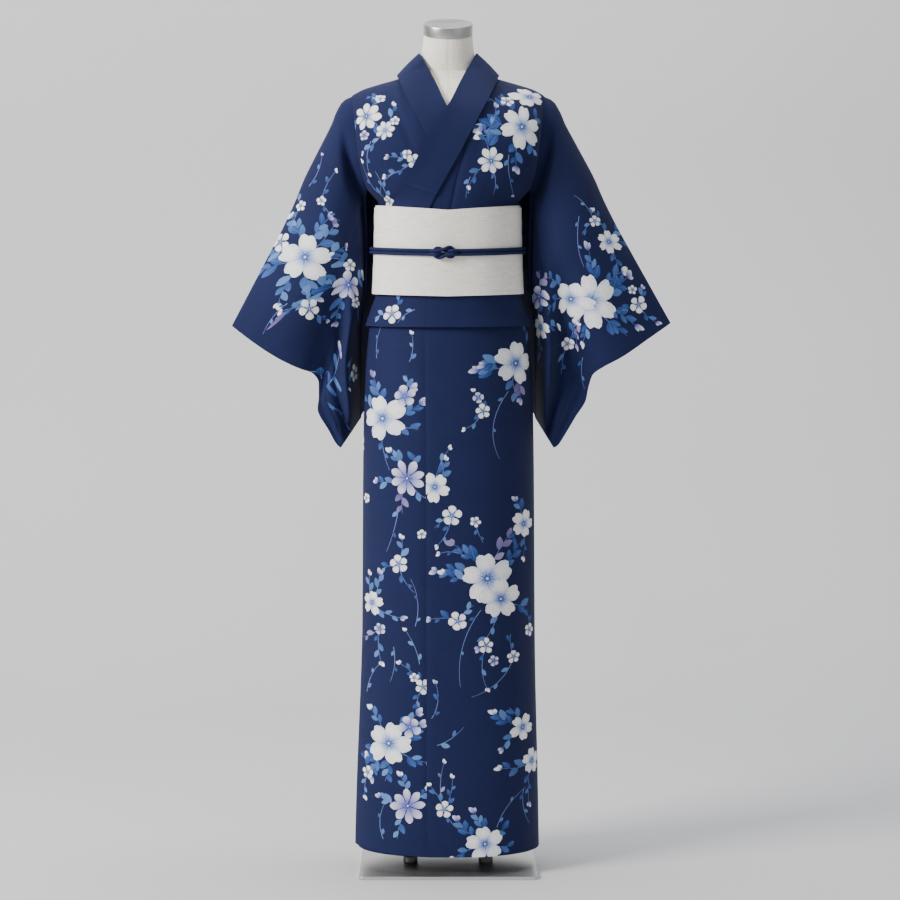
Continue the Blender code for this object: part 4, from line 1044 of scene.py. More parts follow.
def steelMaterial(name, stretch, dark, light, low, high):
    # brushed steel: fine scratches along one direction of the piece
    material, tree, shader = newMaterial(name)
    place = objectPlace(tree)
    scratch = addNoise(tree, place, 1400.0, 3.0, stretch)
    smear = addNoise(tree, place, 9.0, 3.0)
    dull = addMath(tree, "ADD", addMath(tree, "MULTIPLY", scratch, 0.6), addMath(tree, "MULTIPLY", smear, 0.4))
    rough = addNode(tree, "ShaderNodeMapRange",
                    {"Value": dull, "From Min": 0.3, "From Max": 0.7, "To Min": low, "To Max": high})
    bump = addNode(tree, "ShaderNodeBump", {"Height": scratch, "Strength": 0.12, "Distance": 0.0002})
    tree.links.new(addMix(tree, scratch, dark, light), shader.inputs["Base Color"])
    tree.links.new(rough.outputs[0], shader.inputs["Roughness"])
    tree.links.new(bump.outputs[0], shader.inputs["Normal"])
    shader.inputs["Metallic"].default_value = 1.0
    return material


navyBraid = cordMaterial()
plateSteel = steelMaterial("Brushed plate steel", (0.02, 1.0, 1.0), (0.52, 0.52, 0.51), (0.68, 0.68, 0.67), 0.36, 0.50)
postSteel = steelMaterial("Drawn post steel", (1.0, 1.0, 0.03), (0.36, 0.36, 0.36), (0.50, 0.50, 0.50), 0.26, 0.38)
capSteel = steelMaterial("Turned cap steel", (0.25, 0.25, 1.0), (0.46, 0.46, 0.44), (0.60, 0.60, 0.58), 0.26, 0.36)
flangeSteel = steelMaterial("Dark flange steel", (1.0, 1.0, 0.2), (0.07, 0.07, 0.07), (0.12, 0.12, 0.12), 0.30, 0.42)
print("materials made")


def keepPiece(piece, slot, *nodes):
    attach(piece, "root")
    if nodes:
        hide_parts(*nodes)


def addObject(name, mesh, *materials):
    piece = placeObject(name, mesh, materials)
    mesh.shade_smooth()
    mesh.set_sharp_from_angle(angle=math.radians(40))
    return piece


# sections of the dress form: height, half width, depth in front and depth behind
formRows = np.array([
    (0.740, 0.1130, 0.0800, 0.0860),
    (0.775, 0.1380, 0.0960, 0.1010),
    (0.860, 0.1480, 0.1040, 0.1080),
    (0.950, 0.1450, 0.1020, 0.1040),
    (1.025, 0.1290, 0.0970, 0.0930),
    (1.075, 0.1175, 0.0930, 0.0880),
    (1.140, 0.1160, 0.0935, 0.0880),
    (1.235, 0.1185, 0.0970, 0.0920),
])
# the neck's also have the place of their middle and their tilt in degrees
neckRows = np.array([
    (1.4870, 0.0600, 0.0480, 0.0500, 0.010, 1.0),
    (1.5000, 0.0525, 0.0470, 0.0490, 0.007, 3.0),
    (1.5170, 0.0490, 0.0465, 0.0480, 0.003, 7.0),
    (1.5360, 0.0465, 0.0455, 0.0460, -0.001, 12.0),
])
dressForm = {
    "angles": np.linspace(0, 2 * math.pi, 97),
    "capBase": Vector((0.0, -0.004, 1.5545)),
    "capTilt": math.radians(16),
    "capRadius": 0.0455,
    "capHeight": 0.020,
    "neckTop": 0.0445,
    "shoulderRise": 0.0013,
    "chestRise": 0.0008,
    "inside": 0.004,
    "armholeDraw": 0.016,
    "seamDepth": 0.0008,
    "shoulderHeights": (1.280, 1.305, 1.330, 1.352, 1.375, 1.392, 1.410, 1.420, 1.430, 1.436,
                        1.4418, 1.4466, 1.4513, 1.4553, 1.4593, 1.465, 1.4708),
}


def ovalRing(z, half, front, back, centre=0.0, tilt=0.0):
    angles = dressForm["angles"]
    depth = np.where(np.cos(angles) > 0, front, back)
    y = -depth * np.cos(angles)
    lean = math.radians(tilt)
    return np.stack([half * np.sin(angles), centre + y * math.cos(lean), z + y * math.sin(lean)], axis=-1)


def shoulderRing(z):
    # just inside the cloth of the shoulders
    top = float(ridgeHeight(cloth["shoulderHalf"]))
    low = min(z, cloth["chest"])
    half, front, back, hole = (float(value) for value in sectionSizes("bodice", low))
    rise = min(0.9999, max(0.0, (z - cloth["chest"]) / (top - cloth["chest"])))
    # drawn in at the armholes, so that the cloth hides the form there
    drawn = dressForm["armholeDraw"] * (1 - float(ease(z, 1.285, 1.345)))
    reachX = half - dressForm["inside"] + 0.008 * rise - drawn
    if z > top:
        xs = np.linspace(0.03, cloth["shoulderHalf"], 200)
        reachX = min(reachX, float(np.interp(dressForm["shoulderRise"] - z, -ridgeHeight(xs), xs)))
    angles = dressForm["angles"]
    x = reachX * np.sin(angles)
    inFront = np.cos(angles) > 0
    depth, hole = np.where(inFront, front, back), hole * 0.8
    share = np.sqrt(np.clip(1 - np.abs(np.sin(angles)) ** cloth["sectionPower"], 0, 1))
    reach = (hole + (depth - hole) * share) * np.abs(np.cos(angles)) ** 0.15
    lean = np.zeros(len(angles))
    if z > cloth["chest"]:
        height = np.maximum(1e-6, ridgeHeight(x) - cloth["chest"])
        lean = np.clip((z - dressForm["shoulderRise"] - cloth["chest"]) / height, 0, 0.99999)
    reach = reach * np.sqrt(1 - lean ** 2) + dressForm["chestRise"] * float(ease(z, 1.29, 1.36))
    y = np.where(inFront, -reach, reach) + cloth["ridgeY"] * lean
    return np.stack([x, y, np.full(len(angles), z)], axis=-1)


def capPoint(x, y, up):
    return dressForm["capBase"] + Matrix.Rotation(dressForm["capTilt"], 3, "X") @ Vector((x, y, up))


def makeForm():
    rings = [ovalRing(z, *(float(smoothCurve(formRows[:, 0], formRows[:, k], z)) for k in (1, 2, 3)))
             for z in np.linspace(0.740, 1.235, 34)]
    rings += [shoulderRing(z) for z in dressForm["shoulderHeights"]]
    index = np.arange(4.0)
    rings += [ovalRing(*(float(smoothCurve(index, neckRows[:, k], place)) for k in range(6)))
              for place in np.linspace(0, 3, 13)]
    angles, radius = dressForm["angles"], dressForm["neckTop"]
    rings.append(np.array([tuple(capPoint(radius * math.sin(a), -radius * math.cos(a), -0.0003)) for a in angles]))
    grid = np.array(rings)
    # the cover's seams press a fine line into the padding down the middle of the front and the back
    seam = np.exp(-(np.sin(angles * 2) / 0.045) ** 2) * (np.abs(np.cos(angles)) > 0.5) * dressForm["seamDepth"]
    outward = grid - grid.mean(axis=1, keepdims=True)
    outward[:, :, 2] = 0
    outward /= np.maximum(1e-6, np.linalg.norm(outward, axis=2, keepdims=True))
    grid = grid - outward * seam[None, :, None]
    mesh = gridMesh("dressForm", grid)
    mendMesh(mesh, fillHoles=True)
    keepPiece(addObject("dressForm", mesh, linenCloth), "linen", "form")


def latheMesh(name, profile, place, sides, tilt=0.0, ring=False):
    # turned about its own axis from radius and height, with a seamless wall
    mesh = bpy.data.meshes.new(name)
    build = bmesh.new()
    lean = Matrix.Rotation(tilt, 3, "X")
    loops = []
    turns = [2 * math.pi * k / sides for k in range(sides)]
    for radius, height in profile:
        points = [Vector((radius * math.cos(t), radius * math.sin(t), height)) for t in turns]
        loops.append([build.verts.new(Vector(place) + lean @ point) for point in points])
    pairs = list(zip(loops, loops[1:] + loops[:1])) if ring else list(zip(loops, loops[1:]))
    for low, high in pairs:
        for k in range(sides):
            build.faces.new((low[k], low[(k + 1) % sides], high[(k + 1) % sides], high[k]))
    if not ring:
        build.faces.new(loops[0])
        build.faces.new(loops[-1])
    bmesh.ops.recalc_face_normals(build, faces=build.faces)
    build.to_mesh(mesh)
    build.free()
    return mesh


plate = {"side": 0.330, "thick": 0.006, "middle": 0.045, "corner": 0.010, "edge": 0.0007}
posts = {"foot": 0.0063, "top": 0.7397, "spread": 0.071, "radius": 0.0080, "edge": 0.0004, "sides": 64}
# the turned flange: radius and height over its foot
flangeProfile = [(0.0083, 0.0140), (0.0110, 0.0140), (0.0122, 0.0136), (0.0131, 0.0127), (0.0135, 0.0115),
                 (0.0135, 0.0004), (0.0131, 0.0), (0.0083, 0.0)]


def makeStand():
    radius, height = dressForm["capRadius"], dressForm["capHeight"]
    profile = [(radius - 0.0010, 0.0), (radius, 0.0008), (radius, height - 0.0016),
               (radius - 0.0005, height - 0.0005), (radius - 0.0018, height), (radius - 0.0040, height),
               (radius - 0.0045, height - 0.0003), (0.0030, height - 0.0003), (0.0024, height - 0.0006)]
    mesh = latheMesh("neckCap", profile, dressForm["capBase"], 128, dressForm["capTilt"])
    keepPiece(addObject("neckCap", mesh, capSteel), "steel", "neck_cap")
    mesh = bpy.data.meshes.new("basePlate")
    build = bmesh.new()
    bmesh.ops.create_cube(build, size=1.0)
    bmesh.ops.scale(build, vec=(plate["side"], plate["side"], plate["thick"]), verts=build.verts)
    bmesh.ops.translate(build, vec=(0, plate["middle"], plate["thick"] / 2), verts=build.verts)
    upright = [e for e in build.edges if abs(e.verts[0].co.z - e.verts[1].co.z) > plate["thick"] / 2]
    bmesh.ops.bevel(build, geom=upright, offset=plate["corner"], segments=12, affect="EDGES", profile=0.5)
    rim = [e for e in build.edges if abs(e.verts[0].co.z - e.verts[1].co.z) < 1e-5 and len(e.link_faces) == 2
           and abs(e.link_faces[0].normal.z - e.link_faces[1].normal.z) > 0.5]
    bmesh.ops.bevel(build, geom=rim, offset=plate["edge"], segments=3, affect="EDGES", profile=0.5)
    build.to_mesh(mesh)
    build.free()
    keepPiece(addObject("basePlate", mesh, plateSteel), "steel", "base_plate")
    foot, top, edge, radius = posts["foot"], posts["top"], posts["edge"], posts["radius"]
    post = [(radius - edge, foot), (radius, foot + edge), (radius, top - edge), (radius - edge, top)]
    flange = [(radius, foot + height) for radius, height in flangeProfile]
    for side, word in ((1, "left"), (-1, "right")):
        place = (side * posts["spread"], 0, 0)
        mesh = latheMesh("post", post, place, posts["sides"])
        keepPiece(addObject("post" + word.title(), mesh, postSteel), "steel", "post_" + word)
        mesh = latheMesh("flange", flange, place, posts["sides"], ring=True)
        keepPiece(addObject("flange" + word.title(), mesh, flangeSteel), "dark_steel", "flange_" + word)


makeForm()
makeStand()
print("dress form and stand made")

# the print of each panel by zone, in mm and degrees, in the order of drawing
# flowers: x, z, radius, turn, and where they differ petals (5), ink (1 white, 2 lilac) and height against width (1)
# sprigs: x and z of their start, then for each its direction, length, bend, leaves, leaf size,
# and where they differ the ink of its tip (none) and of its leaves (3 blue, 4 lilac)
prints = {
    "body_left": {
        "seed": 11,
        "flowers": [
            ("skirt", [
                (124, 951, 40, 80), (72, 558, 48, 95), (97, 519, 38, 20), (68, 65, 36, 100),
                (-24, 727, 28, 50), (139, 654, 26, 70), (138, 276, 25, 60), (155, 209, 25, 90),
                (64, 865, 14, 30), (7, 674, 19, 15), (50, 663, 10, 65), (18, 480, 18, 40), (70, 434, 14, 85),
                (121, 410, 12, 20), (-7, 131, 16, 10), (55, 890, 10, 10, 4, 2), (150, 455, 13, 70),
                (84, 405, 10, 35, 5, 2),
            ]),
            ("blouse", [
                (134, 1381, 39, 70, 6), (149, 1437, 32, 100, 5, 1, 0.62), (78, 1319, 24, 25, 7),
                (108, 1428, 12, 60, 5, 1, 0.8),
            ]),
            ("skirtBack", [
                (60, 900, 40, 40), (104, 860, 26, 10, 5, 2), (52, 480, 46, 80), (100, 540, 28, 30, 5, 2),
                (110, 200, 42, 50), (48, 120, 24, 15, 5, 2),
            ]),
            ("blouseBack", [
                (90, 1380, 40, 60), (48, 1330, 24, 30, 5, 2), (120, 1300, 20, 10),
            ]),
        ],
        "sprigs": [
            ("skirt", [
                (124, 951, (200, 62, -0.4, 7, 20, 2), (168, 52, 0.5, 5, 17, 2), (250, 70, 0.9, 6, 17),
                (290, 64, -0.5, 6, 18, 2, 4)), (66, 865, (100, 40, 0.6, 4, 11, 1)),
                (62, 865, (250, 44, -0.9, 5, 11, 1)), (110, 900, (235, 130, 1.1, 3, 10)),
                (145, 985, (80, 40, 0.4, 5, 16)), (72, 558, (152, 92, 0.7, 8, 20, 2), (118, 88, 0.6, 7, 21, 4),
                (75, 84, -0.5, 6, 23, 4, 4), (190, 78, -0.7, 6, 17, 1), (30, 92, 0.5, 7, 21)),
                (97, 519, (330, 66, 0.6, 5, 20), (262, 96, -0.6, 6, 15, 2)), (60, 500, (235, 150, 0.8, 2, 9)),
                (30, 600, (150, 46, 0.9, 4, 12, 1)), (139, 654, (100, 46, 0.4, 5, 16, 2),
                (215, 40, 0.6, 4, 14), (280, 60, -0.4, 5, 14, 1)), (-24, 727, (55, 52, 0.5, 6, 14, 1),
                (85, 74, -0.6, 5, 12, 1)), (7, 674, (260, 60, -0.6, 5, 12, 1)),
                (50, 663, (280, 42, 0.4, 4, 10)), (7, 674, (200, 40, 0.6, 4, 11)),
                (18, 480, (160, 50, 0.6, 5, 15, 2), (60, 42, -0.6, 5, 13)),
                (70, 434, (250, 80, 0.8, 5, 12, 1)), (121, 410, (110, 44, -0.5, 5, 12),
                (250, 100, -0.9, 4, 10)), (150, 455, (90, 40, 0.4, 4, 14)),
                (138, 276, (160, 56, -0.5, 7, 17, 1), (110, 48, 0.5, 5, 16), (210, 50, 0.5, 5, 14, 2)),
                (155, 209, (200, 60, -0.6, 6, 16, 1), (250, 76, 0.5, 6, 15, 2)),
                (140, 160, (260, 70, 0.8, 3, 10)), (68, 65, (150, 66, -0.5, 7, 18, 2), (95, 62, 0.5, 7, 18, 2),
                (45, 54, -0.5, 5, 17), (195, 60, 0.3, 5, 15, 1), (340, 56, 0.5, 5, 15)),
                (90, 95, (70, 96, -0.9, 4, 10)), (-7, 131, (60, 60, 0.6, 6, 12, 1), (110, 50, 0.4, 5, 12, 1)),
                (-13, 157, (95, 60, -0.4, 4, 11, 1, 4)), (-7, 131, (290, 46, 0.6, 4, 11)),
                (-30, 300, (60, 66, 0.9, 5, 12, 2)), (-20, 250, (20, 60, 0.6, 5, 12)),
            ]),
            ("blouse", [
                (134, 1381, (168, 60, 0.5, 6, 20, 2), (205, 64, -0.5, 6, 17, 1), (240, 70, 0.4, 6, 18, 2),
                (110, 70, 0.5, 6, 20), (300, 56, -0.6, 5, 18), (20, 50, 0.4, 5, 20)),
                (78, 1319, (100, 56, 0.5, 5, 15), (210, 60, 0.8, 5, 12, 1), (290, 66, -0.5, 4, 10)),
                (70, 1372, (60, 50, 0.6, 6, 16, 2), (140, 30, 0.6, 4, 12, 1)),
                (100, 1420, (160, 38, -0.6, 5, 16)), (110, 1330, (265, 80, 0.7, 3, 9, 2)),
                (40, 1290, (250, 44, 0.4, 3, 10)),
            ]),
            ("skirtBack", [
                (60, 900, (120, 90, 0.6, 8, 20, 2), (220, 90, 0.6, 8, 19, 1)),
                (104, 860, (320, 80, 0.6, 7, 18, None, 4)), (52, 480, (100, 96, 0.6, 8, 20, 2),
                (250, 100, -0.6, 8, 20, 1)), (100, 540, (20, 70, 0.6, 6, 18, None, 4)),
                (110, 200, (150, 90, 0.6, 8, 20, 2), (260, 90, 0.6, 8, 19)),
                (48, 120, (90, 70, 0.6, 6, 16, 1)),
            ]),
            ("blouseBack", [
                (90, 1380, (160, 80, 0.6, 8, 20, 2), (280, 80, 0.5, 8, 20, 1)),
                (48, 1330, (220, 60, 0.5, 6, 16, None, 4)),
            ]),
        ],
    },
    "body_right": {
        "seed": 23,
        "flowers": [
            ("blouse", [
                (-149, 1401, 26, 100, 7), (-114, 1375, 18, 60, 7), (-123, 1433, 10, 40, 5, 1, 0.8),
                (-60, 1318, 14, 10), (-107, 1247, 11, 80), (-96, 1392, 8, 20), (-74, 1330, 9, 45, 4),
                (-152, 1366, 9, 20, 5, 2),
            ]),
            ("skirtBack", [
                (-70, 780, 42, 20), (-110, 730, 28, 60, 5, 2), (-60, 360, 44, 50), (-112, 320, 26, 10, 5, 2),
                (-120, 80, 36, 70), (-52, 960, 22, 30, 5, 2),
            ]),
            ("blouseBack", [
                (-100, 1340, 40, 20), (-54, 1390, 24, 55, 5, 2),
            ]),
            ("skirt", [
                (-163, 400, 20, 30), (-163, 800, 18, 30),
            ]),
        ],
        "sprigs": [
            ("blouse", [
                (-149, 1401, (60, 34, 0.6, 5, 13, 1), (200, 50, 0.5, 6, 14, 2), (330, 44, -0.5, 5, 13)),
                (-114, 1375, (60, 46, 0.5, 6, 13, 1), (240, 56, -0.5, 6, 13, 2)),
                (-123, 1433, (160, 30, 0.3, 4, 11)), (-60, 1318, (160, 50, 0.4, 6, 14, 2),
                (215, 62, -0.4, 6, 13, 1), (260, 60, 0.6, 5, 12)), (-107, 1247, (130, 74, -0.6, 4, 11, 1),
                (70, 56, 0.9, 3, 10)), (-90, 1300, (200, 60, 0.8, 3, 9)),
                (-140, 1355, (250, 56, 0.6, 4, 10, 1)),
            ]),
            ("skirtBack", [
                (-70, 780, (60, 90, 0.6, 8, 20, 2), (250, 96, 0.6, 8, 20, 1)),
                (-110, 730, (200, 80, 0.6, 7, 18, None, 4)), (-60, 360, (80, 92, 0.6, 8, 20, 2),
                (270, 92, -0.6, 8, 20, 1)), (-112, 320, (180, 70, 0.6, 6, 17, None, 4)),
                (-120, 80, (60, 90, 0.6, 8, 20, 2)), (-52, 960, (270, 70, 0.6, 6, 16, 1)),
            ]),
            ("blouseBack", [
                (-100, 1340, (30, 80, 0.6, 8, 20, 2), (250, 80, 0.6, 8, 20, 1)),
                (-54, 1390, (120, 50, 0.5, 5, 15, None, 4)),
            ]),
        ],
    },
    "okumi_left": {
        "seed": 37,
        "flowers": [
            ("skirt", [
                (-120, 850, 42, 110), (-109, 250, 42, 75), (-75, 742, 33, 20, 8, 2), (-74, 136, 33, 50, 8, 2),
                (-140, 508, 23, 80), (-90, 584, 17, 30), (-46, 358, 15, 60), (-79, 892, 20, 30, 5, 2),
                (-149, 190, 12, 10), (-62, 375, 9, 20), (-126, 461, 11, 35, 5, 2), (-70, 283, 20, 45, 5, 2),
            ]),
            ("blouse", [
                (-102, 1042, 17, 60),
            ]),
            ("skirt", [
                (-48, 640, 9, 15), (-150, 700, 10, 40),
            ]),
        ],
        "sprigs": [
            ("skirt", [
                (-120, 850, (60, 70, -0.4, 6, 20, 2), (95, 78, 0.4, 7, 20, 4), (150, 62, -0.5, 5, 18),
                (10, 66, 0.6, 6, 19, 2), (330, 60, 0.5, 5, 18), (265, 96, 0.5, 4, 12)),
                (-79, 892, (70, 40, 0.6, 5, 15)), (-130, 960, (100, 60, -0.6, 5, 11, 1)),
                (-70, 955, (70, 50, 0.6, 5, 11, 1)), (-75, 742, (110, 56, 0.5, 6, 17, 1),
                (200, 60, -0.5, 6, 17, 2), (250, 66, 0.5, 6, 16, None, 4), (60, 46, 0.5, 5, 16)),
                (-90, 690, (262, 88, -0.3, 3, 10)), (-75, 742, (300, 70, 0.7, 5, 14, 1)),
                (-90, 584, (70, 46, 0.5, 5, 14, 1), (190, 44, 0.5, 5, 13), (280, 60, 0.7, 4, 11)),
                (-140, 508, (60, 56, 0.5, 6, 16, 2), (110, 50, -0.5, 5, 14, 1), (320, 56, 0.6, 6, 14, 2)),
                (-126, 461, (260, 60, 0.5, 6, 14, 1), (220, 46, -0.5, 5, 13, None, 4)),
                (-100, 430, (280, 66, -0.6, 3, 10)), (-46, 358, (120, 60, 0.6, 6, 13, 1),
                (240, 50, 0.6, 6, 12)), (-52, 400, (100, 66, 0.5, 5, 11, 1)),
                (-109, 250, (60, 74, -0.4, 7, 20, 2), (110, 70, 0.5, 6, 18, 1), (20, 64, 0.5, 6, 19, 2),
                (195, 50, 0.5, 5, 18, 1), (230, 74, 0.5, 7, 18, 2), (275, 72, -0.4, 7, 19),
                (320, 70, 0.5, 6, 18, 4)), (-149, 190, (100, 40, 0.4, 5, 13), (250, 44, 0.5, 5, 13, 1)),
                (-74, 136, (90, 56, 0.5, 6, 16, 1), (180, 56, -0.5, 6, 16, 2), (240, 66, 0.5, 6, 15),
                (30, 44, 0.5, 5, 14, 1)), (-120, 70, (110, 70, -0.9, 3, 9)),
            ]),
            ("blouse", [
                (-102, 1042, (60, 40, 0.5, 5, 12, 1), (180, 40, 0.5, 5, 12)),
                (-60, 1050, (200, 40, 0.7, 3, 9)),
            ]),
            ("skirt", [
                (-60, 470, (75, 90, 0.8, 3, 9)), (-150, 340, (80, 70, -0.7, 4, 10)),
            ]),
        ],
    },
    "okumi_right": {
        "seed": 41,
        "flowers": [
            ("skirt", [
                (60, 700, 40, 30), (100, 300, 42, 60),
            ]),
        ],
        "sprigs": [
            ("skirt", [
                (60, 700, (120, 80, 0.5, 7, 19, 2)), (100, 300, (240, 80, 0.5, 7, 19, 1)),
            ]),
        ],
    },
    "sleeve_left": {
        "seed": 53,
        "flowers": [
            ("front", [
                (262, 1064, 50, 95, 6), (227, 1068, 35, 60), (295, 1173, 23, 30, 6), (269, 1211, 11, 20),
                (351, 1057, 17, 60), (172, 1016, 25, 80), (222, 985, 13, 30), (168, 1072, 20, 30, 5, 2),
                (340, 1085, 9, 10),
            ]),
            ("back", [
                (240, 1080, 50, 40), (280, 1130, 28, 20, 5, 2),
            ]),
        ],
        "sprigs": [
            ("front", [
                (262, 1064, (75, 88, 0.5, 7, 21, 2), (50, 86, -0.5, 7, 20, 1), (20, 90, 0.4, 7, 20, 2),
                (345, 86, -0.3, 7, 19, 2), (305, 84, 0.5, 7, 19), (270, 80, -0.5, 6, 19, 1),
                (232, 90, 0.4, 7, 19, 2, 4)), (227, 1068, (120, 76, 0.4, 6, 20, 4), (160, 70, 0.5, 6, 17)),
                (295, 1173, (60, 44, -0.5, 5, 15, 1), (100, 60, 0.4, 6, 14, 1), (0, 46, 0.5, 5, 14, 2),
                (290, 50, -0.5, 5, 14)), (269, 1211, (110, 62, 0.5, 5, 10), (200, 34, 0.5, 4, 10)),
                (351, 1057, (60, 30, 0.4, 4, 12, 2), (200, 50, -0.4, 5, 13, 1), (300, 44, 0.6, 5, 13, 2)),
                (172, 1016, (100, 56, -0.4, 6, 17, 2), (250, 60, 0.5, 6, 16), (20, 50, 0.4, 5, 16, 1)),
                (222, 985, (60, 40, 0.5, 5, 13, 1), (240, 56, 0.6, 5, 12)),
                (168, 1072, (80, 50, 0.3, 5, 15, None, 4)), (250, 960, (250, 66, 0.5, 4, 11)),
                (240, 1220, (260, 100, 0.6, 3, 9)),
            ]),
            ("back", [
                (240, 1080, (60, 90, 0.6, 8, 20, 2), (200, 90, 0.6, 8, 20, 1), (310, 90, 0.6, 8, 20)),
            ]),
        ],
    },
    "sleeve_right": {
        "seed": 67,
        "flowers": [
            ("front", [
                (-262, 1145, 46, 85), (-183, 1094, 26, 40, 7, 2), (-255, 1050, 19, 60), (-271, 1239, 10, 30),
                (-232, 1248, 9, 10), (-308, 1173, 20, 50, 5, 1, 0.9), (-180, 1130, 11, 20),
                (-170, 1062, 10, 70), (-172, 930, 17, 40),
            ]),
            ("back", [
                (-240, 1100, 48, 20), (-290, 1060, 26, 50, 5, 2),
            ]),
        ],
        "sprigs": [
            ("front", [
                (-262, 1145, (100, 84, 0.4, 7, 20, 1), (70, 88, -0.4, 7, 19, 2), (40, 84, 0.4, 6, 19, 4),
                (150, 70, 0.5, 6, 19, 2), (195, 84, -0.5, 7, 20, 2), (230, 92, 0.5, 7, 19, 1),
                (270, 80, 0.4, 7, 20, 2), (320, 86, -0.5, 7, 20), (10, 76, 0.4, 6, 18, 2)),
                (-183, 1094, (90, 70, 0.5, 6, 17, 1), (150, 56, 0.4, 6, 16, 4), (240, 70, 0.4, 7, 16, 2),
                (300, 50, 0.5, 5, 15), (40, 44, 0.4, 5, 15, 1)), (-255, 1050, (170, 50, 0.5, 5, 14, 1),
                (320, 44, 0.4, 5, 14, 2), (100, 40, 0.4, 5, 13)), (-271, 1239, (120, 40, 0.5, 4, 11, 1),
                (250, 50, 0.4, 5, 12)), (-232, 1248, (80, 60, -0.5, 5, 11, 1), (300, 50, 0.5, 4, 10)),
                (-255, 1275, (60, 60, 0.8, 3, 9, 2)), (-295, 1060, (215, 70, 0.6, 3, 9)),
                (-230, 900, (60, 70, 0.5, 7, 14, 2)), (-230, 880, (330, 56, 0.5, 6, 13)),
                (-180, 960, (250, 60, 0.5, 5, 12, 1)), (-235, 920, (100, 60, 0.8, 5, 11)),
            ]),
            ("back", [
                (-240, 1100, (60, 90, 0.6, 8, 20, 2), (160, 90, 0.6, 8, 20, 1), (280, 90, 0.6, 8, 20)),
            ]),
        ],
    },
}


def printCloth(name, grid, zones):
    plan = prints[name]
    printer = Printer(grid, zones, plan["seed"])
    for zone, starts in plan["sprigs"]:
        flowers = [row for other, rows in plan["flowers"] if other == zone for row in rows]
        for x, z, *sprigs in starts:
            covered = max([row[2] for row in flowers if math.hypot(row[0] - x, row[1] - z) < 2], default=0)
            for row in sprigs:
                printer.sprig(zone, x, z, covered, *row)
    for zone, rows in plan["flowers"]:
        for row in rows:
            printer.flower(zone, *row)
    return printer.shapes


def rowZones(rows, columns):
    zones = {}
    for layer, inFront in (("skirt", True), ("blouse", True), ("skirt", False), ("blouse", False)):
        found = [k for k, row in enumerate(rows)
                 if row[0] == layer and row[3] == inFront and (layer == "blouse" or row[2] < 1.03)]
        if found:
            zones[layer if inFront else layer + "Back"] = (min(found), max(found) + 1, 0, columns)
    return zones


def makePanel(name, pieceName, grid, zones):
    shapes = printCloth(name, grid, zones)
    piece = finishCloth(pieceName, printedMesh(pieceName, grid, shapes), inks, cloth["thickness"])
    keepPiece(piece, "navy_cotton", name)
    print(pieceName, len(shapes), "shapes", len(piece.data.polygons), "faces")
    return piece


for side, word in ((1, "left"), (-1, "right")):
    rows, grid = bodyGrid(side)
    makePanel("body_" + word, "body" + word.title(), grid, rowZones(rows, grid.shape[1]))
    rows, grid = okumiGrid(side)
    makePanel("okumi_" + word, "okumi" + word.title(), grid, rowZones(rows, grid.shape[1]))
    grid = sleeveGrid(side)
    layers, columns = grid.shape[0] // 2, grid.shape[1]
    makePanel("sleeve_" + word, "sleeve" + word.title(), grid,
              {"front": (0, layers, 0, columns), "back": (layers, 2 * layers, 0, columns)})
print("panels made")

# the collar, then the second band over its upper part
piece = finishCloth("collarBand", gridMesh("collarBand", bandGrid(20, 0.0)), [navyCotton], cloth["collarThickness"])
keepPiece(piece, "navy_cotton", "collar")
coverGrid = bandGrid(17, cloth["collarThickness"] / 2 + cloth["coverGap"] + cloth["thickness"] / 2)
piece = finishCloth("collarCover", gridMesh("collarCover", coverGrid), [navyCotton], cloth["thickness"])
keepPiece(piece, "navy_cotton", "collar_cover")
print("collar made")

obi = {
    "thickness": 0.0020,
    "rest": 0.0011,
    "start": math.radians(-150),
    "end": math.radians(528),
    "step": math.radians(3),
    "levels": 15,
    "bottom": 1.0755,
    "top": 1.2315,
    "hem": 0.0055,
    "turnGap": 0.0005,
    "sideRise": 0.0085,
    "frontDip": 0.0095,
    "outerDrop": 0.004,
    "slack": 0.00025,
}


def outerShare(total):
    # 0 on the first turn and 1 on the second
    return float(ease(total, math.radians(150), math.radians(200)))


def obiLift(total):
    angle = wrapAngle(total)
    top = max(float(layerLift(side, "blouse", "bodice", 1.16, [angle])[0]) for side in (1, -1))
    overCollar = float(ease(angle, math.radians(-88), math.radians(-64))
                       * (1 - ease(angle, math.radians(-8), math.radians(18))))
    first = top + cloth["thickness"] / 2 + obi["rest"] + obi["thickness"] / 2
    first = first + overCollar * (cloth["collarThickness"] + cloth["collarRest"])
    return first + (obi["thickness"] + obi["turnGap"]) * outerShare(total)


def obiColumn(total, shares):
    angle = wrapAngle(total)
    outerWrap = outerShare(total)
    dip = (1 - abs(math.sin(angle))) * (1 if math.cos(angle) > 0 else 0)
    top = obi["top"] + obi["sideRise"] - obi["frontDip"] * dip - obi["outerDrop"] * outerWrap * (1 - dip)
    bottom = obi["bottom"] + 0.003 * (1 - dip) - 0.001 * outerWrap
    heights = bottom + (top - bottom) * shares
    lift = obiLift(total) + obi["slack"] * np.sin(31 * shares + 5 * angle) * outerWrap
    return raisedPoints("bodice", heights, np.full(len(shares), angle), lift)


